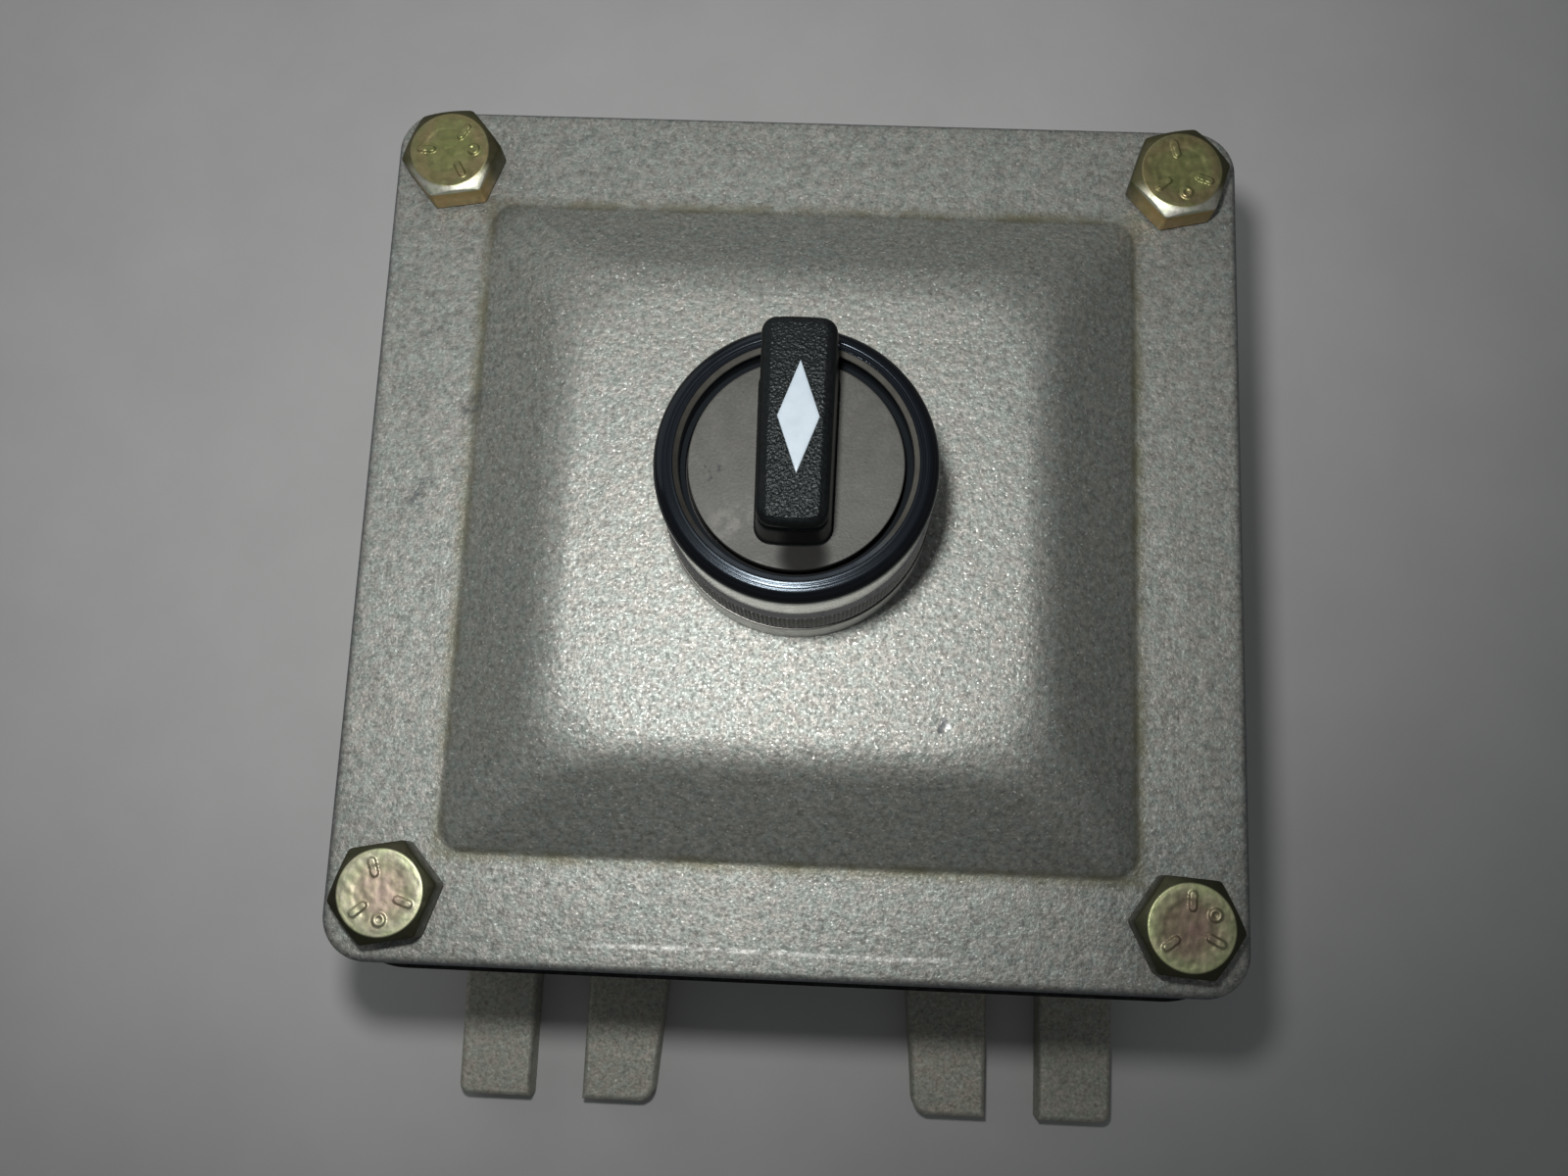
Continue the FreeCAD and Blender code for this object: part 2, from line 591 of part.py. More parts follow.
seal = new_body("panel_seal")
sk = new_sketch(seal, "seal_plan", offset=s.flange_head_z)
circle(sk, 0, 0, s.seal_outer)
circle(sk, 0, 0, s.collar_inner)
pad(seal, sk, s.seal_thick, "seal_ring")
sk = new_sketch(seal, "seal_notch_plan", offset=s.flange_head_z + 3)
box_outline(sk, -s.notch_half, s.notch_half, s.collar_inner - 2, s.notch_reach)
pocket(seal, sk, 5, "seal_notch")

turned("bearing_bush", [
    (s.bearing_inner, s.bearing_foot), (s.bearing_outer, s.bearing_foot),
    (s.bearing_outer, s.bush_bore_top), (s.bearing_inner, s.bush_bore_top),
])
node(cylinder("stop_pin", s.stop_r, s.stop_foot, s.stop_top, -s.stop_at, 0), "stop_pin")

# ---------------------------------------------------------------- spindle group
spindle = turned("spindle", [
    (0, s.spindle_foot), (s.journal_r, s.spindle_foot), (s.journal_r, s.clip_z - 0.05),
    (s.clip_seat, s.clip_z - 0.05), (s.clip_seat, s.clip_z + s.clip_thick + 0.05),
    (s.journal_r, s.clip_z + s.clip_thick + 0.05), (s.journal_r, s.oring_z - s.oring_room),
    (s.oring_mean - s.oring_wire - 0.05, s.oring_z - s.oring_room),
    (s.oring_mean - s.oring_wire - 0.05, s.oring_z + s.oring_room),
    (s.journal_r, s.oring_z + s.oring_room), (s.journal_r, s.shoulder_z), (s.neck_r, s.shoulder_z),
    (s.neck_r, s.spindle_top), (0, s.spindle_top),
])
sk = new_sketch(spindle, "drive_flat_plan", offset=s.wheel_room_top - 0.8)
box_outline(sk, s.journal_r - s.flat_depth, s.journal_r + 2, -6, 6)
pocket(spindle, sk, s.wheel_room_top - s.spindle_foot + 1, "drive_flat")
sk = new_sketch(spindle, "knob_flat_plan", offset=s.spindle_top + 1)
box_outline(sk, s.neck_r - s.flat_depth, s.neck_r + 2, -6, 6)
pocket(spindle, sk, s.spindle_top + 1 - s.shoulder_z, "knob_flat")
sk = new_sketch(spindle, "spindle_tap_plan", offset=s.spindle_foot)
circle(sk, 0, 0, s.cam_screw_r + 0.03)
pocket(spindle, sk, 9, "spindle_tap", up=True)
sk = new_sketch(spindle, "spindle_pin_plan", "YZ_Plane", 6)
circle(sk, 0, s.pin_z, s.pin_r + 0.01)
pocket(spindle, sk, 12, "spindle_pin_hole")

oring = doc.addObject("Part::Torus", "shaft_oring")
bind(oring, "Radius1", s.oring_mean)
bind(oring, "Radius2", s.oring_wire)
bind(oring, "Placement.Base.z", s.oring_z)
node(oring, "shaft_oring")

clip = new_body("spindle_clip")
sk = new_sketch(clip, "clip_plan", offset=s.clip_z)
circle(sk, 0, 0, s.clip_outer)
circle(sk, 0, 0, s.clip_seat + 0.02)
pad(clip, sk, s.clip_thick, "clip_ring")
sk = new_sketch(clip, "clip_mouth_plan", offset=s.clip_z + 2)
box_outline(sk, s.clip_seat * -0.7, s.clip_seat * 0.7, -(s.clip_outer + 1), -1)
pocket(clip, sk, 4, "clip_mouth")

turned("dial_disc", [
    (s.stem_r + 0.03, s.disc_foot), (s.disc_r, s.disc_foot), (s.disc_r, s.disc_top - 0.3),
    (s.disc_r - 0.3, s.disc_top), (s.stem_r + 0.03, s.disc_top),
])

# ---------------------------------------------------------------- lever
lever = new_body("lever_knob")
sk = new_sketch(lever, "lever_plan", offset=s.disc_top)
outline(sk, [
    (-s.lever_half, -s.lever_heel), (s.lever_half, -s.lever_heel),
    (s.lever_tip_half, s.lever_tip), (-s.lever_tip_half, s.lever_tip),
])
pad(lever, sk, s.lever_top - s.disc_top, "lever_grip", taper=-s.lever_draft)
fillet(lever, lambda e: e.BoundBox.ZLength > 5 and e.BoundBox.Center.y > 10, s.lever_tip_corner, "lever_tip_corners")
fillet(lever, lambda e: e.BoundBox.ZLength > 5 and e.BoundBox.Center.y < -9,
       s.lever_heel_corner, "lever_heel_corners")
fillet(lever, lambda e: at_height(e, SIZES["lever_top"]), s.lever_edge, "lever_top_edge")
sk = new_sketch(lever, "overhang_plan", "YZ_Plane", 10)
box_outline(sk, s.overhang_from, s.lever_tip + 3, s.disc_top - 2, s.overhang_z)
pocket(lever, sk, 20, "overhang")
sk = new_sketch(lever, "stem_plan", offset=s.disc_top + 0.5)
circle(sk, 0, 0, s.stem_r)
sk_stem = sk
pad(lever, sk_stem, s.disc_top + 0.5 - s.stem_foot, "stem", down=True)
sk = new_sketch(lever, "knob_bore_plan", offset=s.stem_foot)
circle(sk, 0, 0, s.neck_r + s.wheel_fit)
pocket(lever, sk, s.spindle_top + 0.4 - s.stem_foot, "knob_bore", up=True)
sk = new_sketch(lever, "knob_flat_pad_plan", offset=s.stem_foot)
box_outline(sk, s.neck_r - s.flat_depth + s.wheel_fit, s.neck_r + 0.8, -2.6, 2.6)
pad(lever, sk, s.spindle_top + 0.4 - s.stem_foot, "knob_flat_pad")
sk = new_sketch(lever, "knob_pin_plan", "YZ_Plane", 10)
circle(sk, 0, s.pin_z, s.pin_r + 0.01)
pocket(lever, sk, 20, "knob_pin_hole")
sk = new_sketch(lever, "inlay_plan", offset=s.lever_top + 1)
grow_y, grow_x = s.diamond_gap * 3.0, s.diamond_gap * 1.1
outline(sk, [
    (s.diamond_x, s.diamond_y - s.diamond_long - grow_y), (s.diamond_x + s.diamond_wide + grow_x, s.diamond_y),
    (s.diamond_x, s.diamond_y + s.diamond_long + grow_y), (s.diamond_x - s.diamond_wide - grow_x, s.diamond_y),
])
pocket(lever, sk, s.diamond_thick - s.diamond_proud + 1, "inlay_pocket")

inlay = new_body("pointer_inlay")
sk = new_sketch(inlay, "diamond_plan", offset=s.lever_top + s.diamond_proud - s.diamond_thick)
outline(sk, [
    (s.diamond_x, s.diamond_y - s.diamond_long), (s.diamond_x + s.diamond_wide, s.diamond_y),
    (s.diamond_x, s.diamond_y + s.diamond_long), (s.diamond_x - s.diamond_wide, s.diamond_y),
])
pad(inlay, sk, s.diamond_thick, "diamond")

pin = cylinder("knob_cross_pin", s.pin_r, 0, s.pin_half * 2)
pin.Placement = Placement(Vector(-SIZES["pin_half"], 0, SIZES["pin_z"]), Rotation(Vector(0, 1, 0), 90))
bind(pin, "Placement.Base.x", -s.pin_half)
bind(pin, "Placement.Base.z", s.pin_z)
node(pin, "knob_cross_pin")

# ---------------------------------------------------------------- index wheel
def drive_tool(name, foot, top):
    """Round shaft with one flat, a running clearance larger than the spindle."""
    rod = cylinder(name + "_rod", s.journal_r + s.wheel_fit, foot, top)
    keep = block(name + "_keep", -6, s.journal_r - s.flat_depth + s.wheel_fit, -6, 6, foot, top)
    both = doc.addObject("Part::Common", name)
    both.Base, both.Tool = rod, keep
    return both


wheel_tools = [drive_tool("wheel_drive", s.wheel_foot - 1, s.wheel_top + 1)]
for index, turn in enumerate((-45.0, 0.0, 45.0)):
    a = math.radians(turn)
    wheel_tools.append(cylinder("wheel_notch_%d" % index, s.notch_r, s.wheel_foot - 1, s.wheel_top + 1,
                                s.notch_at * math.cos(a), s.notch_at * math.sin(a)))
sweep = SIZES["turn_each_way"] + math.degrees((SIZES["stop_r"] + 0.35) / SIZES["stop_at"])
ring_out = cylinder("stop_slot_outer", s.stop_at + s.stop_slot_half, s.wheel_foot - 1, s.wheel_top + 1)
ring_in = cylinder("stop_slot_inner", s.stop_at - s.stop_slot_half, s.wheel_foot - 2, s.wheel_top + 2)
ring_out.Angle = 2 * sweep
ring_out.Placement = Placement(ring_out.Placement.Base, Rotation(Vector(0, 0, 1), 180 - sweep))
bind(ring_out, "Placement.Base.z", s.wheel_foot - 1)
wheel_tools.append(cut("stop_slot", ring_out, ring_in))
node(cut("index_wheel_solid",
         cylinder("wheel_blank", s.wheel_r, s.wheel_foot, s.wheel_top),
         fuse("wheel_cuts", wheel_tools)), "index_wheel")

# leaf spring: an arc of strip on the wall of the wheel room with a nose in the notch
strip_out, strip_in = SIZES["wheel_room_r"] - 0.1, SIZES["wheel_room_r"] - 0.5
z1, z2 = SIZES["wheel_foot"] + 0.5, SIZES["wheel_top"] - 0.5
band = Part.makeCylinder(strip_out, z2 - z1, Vector(0, 0, z1), Vector(0, 0, 1), 76)
band.Placement = Placement(Vector(0, 0, 0), Rotation(Vector(0, 0, 1), -38)).multiply(band.Placement)
band = band.cut(Part.makeCylinder(strip_in, z2 - z1 + 2, Vector(0, 0, z1 - 1)))
nose_at = SIZES["wheel_r"] + 0.45
nose = Part.makeCylinder(1.25, z2 - z1, Vector(nose_at, 0, z1))
shoulder = Part.makeBox(strip_in + 0.2 - nose_at, 2.5, z2 - z1, Vector(nose_at, -1.25, z1))
made("index_spring", band.fuse([nose, shoulder]).removeSplitter())

# ---------------------------------------------------------------- cam
tilt = math.radians(SIZES["cam_tilt"])
below = doc.addObject("Part::Box", "cam_below")
below.Length = below.Width = 40
below.Height = 20
spin = Rotation(Vector(1, 0, 0), SIZES["cam_tilt"])
below.Placement = Placement(
    Vector(0, 0, SIZES["cam_mid"]) + spin.multVec(Vector(-20, -20, -20)), spin)
cam_cuts = fuse("cam_cuts", [
    drive_tool("cam_drive", s.cam_mid, s.cam_top + 1),
    cylinder("cam_counterbore", s.cam_bore_r, s.cam_mid - 6, s.cam_bore_z),
    below,
])
node(cut("cam_solid", cylinder("cam_blank", s.cam_r, s.cam_mid - 8, s.cam_top), cam_cuts), "selector_cam")
node(fuse("cam_screw_solid", [
    cylinder("cam_screw_shank", s.cam_screw_r, s.cam_screw_foot + 1, s.spindle_foot + 8),
    cylinder("cam_screw_head_blank", s.cam_screw_head, s.cam_screw_foot, s.cam_bore_z),
]), "cam_screw")

# ---------------------------------------------------------------- contact block
housing = new_body("block_housing")
sk = new_sketch(housing, "housing_plan", offset=s.block_foot)
box_outline(sk, -s.block_half_x, s.block_half_x, -s.block_half_y, s.block_half_y)
pad(housing, sk, s.flange_foot_z - s.block_foot, "housing_block")
fillet(housing, is_upright, 2.0, "housing_corners")
sk = new_sketch(housing, "cam_room_plan", offset=s.flange_foot_z)
circle(sk, 0, 0, s.cam_room_r)
pocket(housing, sk, s.flange_foot_z - s.cam_room_foot, "cam_room")
sk = new_sketch(housing, "guide_plan", offset=s.cam_room_foot)
circle(sk, s.plunger_at, 0, s.guide_r)
circle(sk, -s.plunger_at, 0, s.guide_r)
pocket(housing, sk, s.cam_room_foot - s.block_foot, "guides")
sk = new_sketch(housing, "chamber_plan", offset=s.block_foot)
for sx in (-1, 1):
    box_outline(sk, sx * s.plunger_at - s.chamber_half_x, sx * s.plunger_at + s.chamber_half_x,
                -s.chamber_half_y, s.chamber_half_y)
pocket(housing, sk, s.chamber_top - s.block_foot, "contact_chambers", up=True)
sk = new_sketch(housing, "tie_plan", offset=s.flange_foot_z + 1)
circle(sk, 0, s.tie_at, s.tie_hole_r)
circle(sk, 0, -s.tie_at, s.tie_hole_r)
pocket(housing, sk, s.flange_foot_z - s.block_foot + 2, "tie_holes")

base = new_body("block_base")
sk = new_sketch(base, "base_plan", offset=s.base_foot)
box_outline(sk, -s.block_half_x, s.block_half_x, -s.base_half_y, s.base_half_y)
pad(base, sk, s.block_foot - s.base_foot, "base_block")
fillet(base, is_upright, 2.0, "base_corners")
sk = new_sketch(base, "strip_recess_plan", offset=s.block_foot)
for sx, sy in signs:
    box_outline(sk, sx * s.plunger_at - s.strip_half - 0.05, sx * s.plunger_at + s.strip_half + 0.05,
                sy * (s.strip_near - 0.1), sy * (s.base_half_y + 1))
pocket(base, sk, s.strip_thick, "strip_recesses")
sk = new_sketch(base, "well_plan", offset=s.block_foot)
circle(sk, s.plunger_at, 0, s.well_r)
circle(sk, -s.plunger_at, 0, s.well_r)
pocket(base, sk, s.block_foot - s.well_foot, "spring_wells")
sk = new_sketch(base, "terminal_tap_plan", offset=s.block_foot)
for sx, sy in signs:
    circle(sk, sx * s.plunger_at, sy * s.terminal_at, s.terminal_tap_r)
pocket(base, sk, 6.8, "terminal_taps")
sk = new_sketch(base, "base_tie_plan", offset=s.block_foot + 1)
circle(sk, 0, s.tie_at, s.tie_hole_r)
circle(sk, 0, -s.tie_at, s.tie_hole_r)
pocket(base, sk, s.block_foot - s.base_foot + 2, "base_tie_holes")
sk = new_sketch(base, "tie_recess_plan", offset=s.base_foot)
circle(sk, 0, s.tie_at, s.tie_recess_r)
circle(sk, 0, -s.tie_at, s.tie_recess_r)
pocket(base, sk, s.tie_recess, "tie_recesses", up=True)

group("block_screws", [
    fuse("tie_screw_%d" % i, [
        cylinder("tie_shank_%d" % i, s.small_shank_r, s.base_foot + s.tie_recess - 1, s.tie_top, 0, y),
        cylinder("tie_head_%d" % i, s.small_head_r, s.base_foot + s.tie_recess - s.small_head,
                 s.base_foot + s.tie_recess, 0, y),
    ])
    for i, y in enumerate((-s.tie_at, s.tie_at))
])

strips, clamps, screws = [], [], []
strip_foot = s.block_foot - s.strip_thick
for i, (sx, sy) in enumerate(signs):
    x = sx * s.plunger_at
    near, far = sorted((sy * s.strip_near, sy * s.strip_far), key=lambda q: q.v)
    y = sy * s.terminal_at
    bar = fuse("strip_bar_%d" % i, [
        block("strip_flat_%d" % i, x - s.strip_half, x + s.strip_half, near, far, strip_foot, s.block_foot),
        cylinder("strip_contact_%d" % i, s.contact_r, strip_foot, s.block_foot + s.contact_thick,
                 x, sy * s.contact_at),
    ])
    strips.append(cut("strip_%d" % i, bar,
                      cylinder("strip_hole_%d" % i, s.terminal_hole_r, strip_foot - 1, s.block_foot + 1, x, y)))
    clamps.append(cut("clamp_%d" % i,
                      block("clamp_plate_%d" % i, x - s.clamp_half, x + s.clamp_half,
                            y - s.clamp_half, y + s.clamp_half, s.block_foot, s.block_foot + s.clamp_thick),
                      cylinder("clamp_hole_%d" % i, s.terminal_hole_r, s.block_foot - 1,
                               s.block_foot + s.clamp_thick + 1, x, y)))
    top = s.block_foot + s.clamp_thick
    screw = fuse("terminal_screw_blank_%d" % i, [
        cylinder("terminal_shank_%d" % i, s.small_shank_r, s.well_foot, top + 1, x, y),
        cylinder("terminal_head_%d" % i, s.small_head_r, top, top + s.small_head, x, y),
    ])
    screws.append(cut("terminal_screw_%d" % i, screw,
                      block("terminal_slot_%d" % i, x - 4, x + 4, y - 0.45, y + 0.45,
                            top + s.small_head - 1, top + s.small_head + 1)))
group("fixed_contacts", strips)
group("terminal_clamps", clamps)
group("terminal_screws", screws)

# ---------------------------------------------------------------- moving contacts
bridge_foot = s.plunger_step - s.bridge_thick
for side, sx in (("left", -1), ("right", 1)):
    x = sx * s.plunger_at
    ball = doc.addObject("Part::Sphere", side + "_plunger_ball")
    bind(ball, "Radius", s.plunger_r)
    bind(ball, "Placement.Base.x", x)
    bind(ball, "Placement.Base.z", s.plunger_ball_z)
    node(fuse(side + "_plunger_solid", [
        cylinder(side + "_plunger_stem", s.plunger_stem_r, s.plunger_foot, s.plunger_step + 1, x, 0),
        cylinder(side + "_plunger_barrel", s.plunger_r, s.plunger_step, s.plunger_ball_z, x, 0),
        ball,
    ]), side + "_plunger")
    bar = fuse(side + "_bridge_bar", [
        block(side + "_bridge_flat", x - s.strip_half, x + s.strip_half, -s.bridge_half_y, s.bridge_half_y,
              bridge_foot, s.plunger_step),
        cylinder(side + "_bridge_front", s.contact_r, bridge_foot - s.contact_thick, bridge_foot + 0.5,
                 x, -s.contact_at),
        cylinder(side + "_bridge_back", s.contact_r, bridge_foot - s.contact_thick, bridge_foot + 0.5,
                 x, s.contact_at),
    ])
    node(cut(side + "_bridge_solid", bar,
             cylinder(side + "_bridge_hole", s.plunger_stem_r + 0.02, bridge_foot - 2,
                      s.plunger_step + 1, x, 0)), side + "_contact_bridge")
    wire, mean = SIZES["coil_wire"], SIZES["coil_mean"]
    low = SIZES["well_foot"] + wire + 0.05
    high = SIZES["plunger_step"] - SIZES["bridge_thick"] - wire - 0.05
    helix = Part.makeHelix(SIZES["coil_pitch"], high - low, mean)
    section = Part.Wire(Part.makeCircle(wire, Vector(mean, 0, 0), Vector(0, 1, 0)))
    coil = Part.Wire(helix).makePipeShell([section], True, True)
    made(side + "_return_spring", coil, (sx * SIZES["plunger_at"], 0, low))

# ---------------------------------------------------------------- check and write
doc.recompute()
for obj in doc.Objects:
    if any(word in obj.State for word in ("Invalid", "Error")):
        raise RuntimeError("%s is %s" % (obj.Name, obj.State))
labels = [obj.Label for obj in NODES]
if len(set(labels)) != len(labels):
    raise RuntimeError("two nodes share a label")
for obj in NODES:
    if obj.Shape.isNull() or not obj.Shape.isValid() or not obj.Shape.Solids:
        raise RuntimeError("%s has a bad shape" % obj.Label)
for obj in NODES:
    obj.Shape.exportStep("parts/%s.step" % obj.Label)
    b = obj.Shape.BoundBox
    print("%-22s solids %d  volume %9.1f  x %.2f..%.2f  y %.2f..%.2f  z %.2f..%.2f" % (
        obj.Label, len(obj.Shape.Solids), obj.Shape.Volume,
        b.XMin, b.XMax, b.YMin, b.YMax, b.ZMin, b.ZMax))
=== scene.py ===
import json
import math

import bmesh
import bpy
from mathutils import Matrix, Vector, noise


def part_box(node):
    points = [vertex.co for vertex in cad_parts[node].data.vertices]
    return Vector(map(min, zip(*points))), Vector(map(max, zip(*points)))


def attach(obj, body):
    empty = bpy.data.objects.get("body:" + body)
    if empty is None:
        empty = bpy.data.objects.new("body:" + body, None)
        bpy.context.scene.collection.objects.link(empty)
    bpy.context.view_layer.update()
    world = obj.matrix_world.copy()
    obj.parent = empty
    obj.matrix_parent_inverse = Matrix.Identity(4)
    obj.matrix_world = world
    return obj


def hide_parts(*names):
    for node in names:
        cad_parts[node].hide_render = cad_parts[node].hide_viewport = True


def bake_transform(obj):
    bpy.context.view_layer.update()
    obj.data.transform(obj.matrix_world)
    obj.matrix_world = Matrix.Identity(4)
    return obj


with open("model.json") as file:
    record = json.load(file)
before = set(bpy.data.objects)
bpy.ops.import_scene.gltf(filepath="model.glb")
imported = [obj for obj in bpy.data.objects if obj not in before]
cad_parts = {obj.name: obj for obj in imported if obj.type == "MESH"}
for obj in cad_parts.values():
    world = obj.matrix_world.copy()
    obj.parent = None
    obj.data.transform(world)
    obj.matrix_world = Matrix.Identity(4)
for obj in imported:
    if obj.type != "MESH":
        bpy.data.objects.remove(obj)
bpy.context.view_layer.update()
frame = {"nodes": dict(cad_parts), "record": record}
nodes = frame["nodes"]
MM = 0.001

# The row frame: origin at the centre of the back face, +Z out of the cover,
# +Y the way the lever points. Sizes below are in millimetres unless they end in _m.
FLANGE_Z = 70.0
PLATEAU_Z = 80.0


# ---------------------------------------------------------------- mesh helpers
def mesh_object(name, verts, faces, sharp=32.0, scale=MM):
    mesh = bpy.data.meshes.new(name)
    mesh.from_pydata([(x * scale, y * scale, z * scale) for x, y, z in verts], [], faces)
    mesh.validate()
    obj = bpy.data.objects.new(name, mesh)
    bpy.context.scene.collection.objects.link(obj)
    tidy(obj, sharp)
    return obj


def tidy(obj, sharp=32.0):
    """Outward normals, smooth faces, and hard edges only above the angle."""
    bm = bmesh.new()
    bm.from_mesh(obj.data)
    bmesh.ops.remove_doubles(bm, verts=bm.verts, dist=2e-7)
    bmesh.ops.dissolve_degenerate(bm, edges=bm.edges, dist=1e-7)
    bmesh.ops.recalc_face_normals(bm, faces=bm.faces)
    limit = math.radians(sharp)
    for face in bm.faces:
        face.smooth = True
    for edge in bm.edges:
        if len(edge.link_faces) == 2:
            edge.smooth = edge.calc_face_angle(0.0) < limit
    bm.to_mesh(obj.data)
    bm.free()
    obj.data.update()


def skin(rings, closed_loop=True, caps=False):
    """Faces between rings of the same count; closed_loop joins last to first."""
    n = len(rings[0])
    verts = [v for ring in rings for v in ring]
    faces = []
    count = len(rings)
    for i in range(count if closed_loop else count - 1):
        a, b = i * n, ((i + 1) % count) * n
        for j in range(n):
            k = (j + 1) % n
            faces.append((a + j, a + k, b + k, b + j))
    if caps:
        faces.append(tuple(range(n - 1, -1, -1)))
        faces.append(tuple(range((count - 1) * n, count * n)))
    return verts, faces


def arc_points(cx, cz, r, a0, a1, steps):
    """Points on an arc in the (radius, height) plane, degrees."""
    return [
        (cx + r * math.cos(math.radians(a0 + (a1 - a0) * i / steps)),
         cz + r * math.sin(math.radians(a0 + (a1 - a0) * i / steps)))
        for i in range(steps + 1)
    ]


def lathe(name, profile, count=256, sharp=32.0):
    """A closed (radius, height) outline turned about Z."""
    rings = []
    for r, z in profile:
        rings.append([
            (r * math.cos(2 * math.pi * j / count), r * math.sin(2 * math.pi * j / count), z)
            for j in range(count)
        ])
    verts, faces = skin(rings)
    return mesh_object(name, verts, faces, sharp)


def cutter(name, verts, faces):
    obj = mesh_object(name, verts, faces)
    return obj


def prism(points, z0, z1):
    n = len(points)
    verts = [(x, y, z0) for x, y in points] + [(x, y, z1) for x, y in points]
    faces = [tuple(range(n - 1, -1, -1)), tuple(range(n, 2 * n))]
    faces += [(i, (i + 1) % n, n + (i + 1) % n, n + i) for i in range(n)]
    return verts, faces


def round_prism(cx, cy, r, z0, z1, count=64):
    return prism([(cx + r * math.cos(2 * math.pi * i / count), cy + r * math.sin(2 * math.pi * i / count))
                  for i in range(count)], z0, z1)


def carve(obj, tools, operation="DIFFERENCE", sharp=32.0):
    """Booleans the tool meshes into obj and keeps only the finished mesh."""
    for verts, faces in tools:
        tool = mesh_object("tool", verts, faces)
        mod = obj.modifiers.new("cut", "BOOLEAN")
        mod.operation = operation
        mod.solver = "EXACT"
        mod.object = tool
        depsgraph = bpy.context.evaluated_depsgraph_get()
        result = bpy.data.meshes.new_from_object(obj.evaluated_get(depsgraph))
        obj.modifiers.clear()
        old = obj.data
        obj.data = result
        bpy.data.meshes.remove(old)
        bpy.data.objects.remove(tool, do_unlink=True)
    tidy(obj, sharp)
    return obj


# ---------------------------------------------------------------- material helpers
class Mat:
    """A procedural material on one Principled shader, in object coordinates (metres)."""

    def __init__(self, name, base=(0.5, 0.5, 0.5), metallic=0.0, rough=0.5, **sockets):
        self.mat = bpy.data.materials.new(name)
        self.mat.use_nodes = True
        self.tree = self.mat.node_tree
        self.bsdf = self.tree.nodes["Principled BSDF"]
        self.bsdf.inputs["Base Color"].default_value = (*base, 1)
        self.bsdf.inputs["Metallic"].default_value = metallic
        self.bsdf.inputs["Roughness"].default_value = rough
        for key, value in sockets.items():
            self.bsdf.inputs[key.replace("_", " ")].default_value = value
        self.coord = self.tree.nodes.new("ShaderNodeTexCoord").outputs["Object"]
        self.last_bump = None

    def new(self, kind, **props):
        node = self.tree.nodes.new(kind)
        for key, value in props.items():
            setattr(node, key, value)
        return node

    def put(self, socket, value):
        if hasattr(value, "is_output"):
            self.tree.links.new(value, socket)
        elif isinstance(value, tuple) and len(value) == 3 and socket.type == "RGBA":
            socket.default_value = (*value, 1)
        else:
            socket.default_value = value

    def noise(self, scale, detail=2.0, rough=0.5, distort=0.0, coord=None):
        n = self.new("ShaderNodeTexNoise")
        self.put(n.inputs["Vector"], coord or self.coord)
        n.inputs["Scale"].default_value = scale
        n.inputs["Detail"].default_value = detail
        n.inputs["Roughness"].default_value = rough
        n.inputs["Distortion"].default_value = distort
        return n.outputs[0]

    def voronoi(self, scale, out="Distance", feature="F1", coord=None, random=1.0):
        n = self.new("ShaderNodeTexVoronoi", feature=feature)
        self.put(n.inputs["Vector"], coord or self.coord)
        n.inputs["Scale"].default_value = scale
        n.inputs["Randomness"].default_value = random
        return n.outputs[out]

    def math(self, op, a, b=0.0, c=0.0, clamp=False):
        n = self.new("ShaderNodeMath", operation=op, use_clamp=clamp)
        for socket, value in zip(n.inputs, (a, b, c)):
            self.put(socket, value)
        return n.outputs[0]

    def vmath(self, op, a, b=None):
        n = self.new("ShaderNodeVectorMath", operation=op)
        self.put(n.inputs[0], a)
        if b is not None:
            self.put(n.inputs[1], b)
        return n.outputs["Value"] if op in ("LENGTH", "DISTANCE", "DOT_PRODUCT") else n.outputs["Vector"]

    def remap(self, value, a, b, c=0.0, d=1.0, smooth=False):
        n = self.new("ShaderNodeMapRange", interpolation_type="SMOOTHSTEP" if smooth else "LINEAR")
        self.put(n.inputs["Value"], value)
        for key, v in (("From Min", a), ("From Max", b), ("To Min", c), ("To Max", d)):
            n.inputs[key].default_value = v
        return n.outputs["Result"]

    def mix(self, fac, a, b, blend="MIX"):
        n = self.new("ShaderNodeMix", data_type="RGBA", blend_type=blend)
        self.put(n.inputs[0], fac)
        self.put(n.inputs[6], a)
        self.put(n.inputs[7], b)
        return n.outputs[2]

    def ramp(self, fac, stops):
        n = self.new("ShaderNodeValToRGB")
        self.put(n.inputs["Fac"], fac)
        ramp = n.color_ramp
        while len(ramp.elements) < len(stops):
            ramp.elements.new(0.5)
        for element, (at, colour) in zip(ramp.elements, stops):
            element.position = at
            element.color = (*colour, 1)
        return n.outputs["Color"]

    def axes(self, coord=None):
        n = self.new("ShaderNodeSeparateXYZ")
        self.put(n.inputs[0], coord or self.coord)
        return n.outputs["X"], n.outputs["Y"], n.outputs["Z"]

    def spot(self, x, y, r, soft, z=None):
        """1 inside a soft disc about a point, 0 outside; millimetres."""
        px, py, pz = self.axes()
        dx = self.math("SUBTRACT", px, x * MM)
        dy = self.math("SUBTRACT", py, y * MM)
        d = self.math("SQRT", self.math("ADD", self.math("MULTIPLY", dx, dx), self.math("MULTIPLY", dy, dy)))
        return self.remap(d, r * MM, (r + soft) * MM, 1.0, 0.0, smooth=True)

    def bump(self, height, strength=0.5, distance=0.0002):
        n = self.new("ShaderNodeBump")
        n.inputs["Strength"].default_value = strength
        n.inputs["Distance"].default_value = distance
        self.put(n.inputs["Height"], height)
        if self.last_bump:
            self.put(n.inputs["Normal"], self.last_bump)
        self.last_bump = n.outputs["Normal"]
        self.put(self.bsdf.inputs["Normal"], self.last_bump)

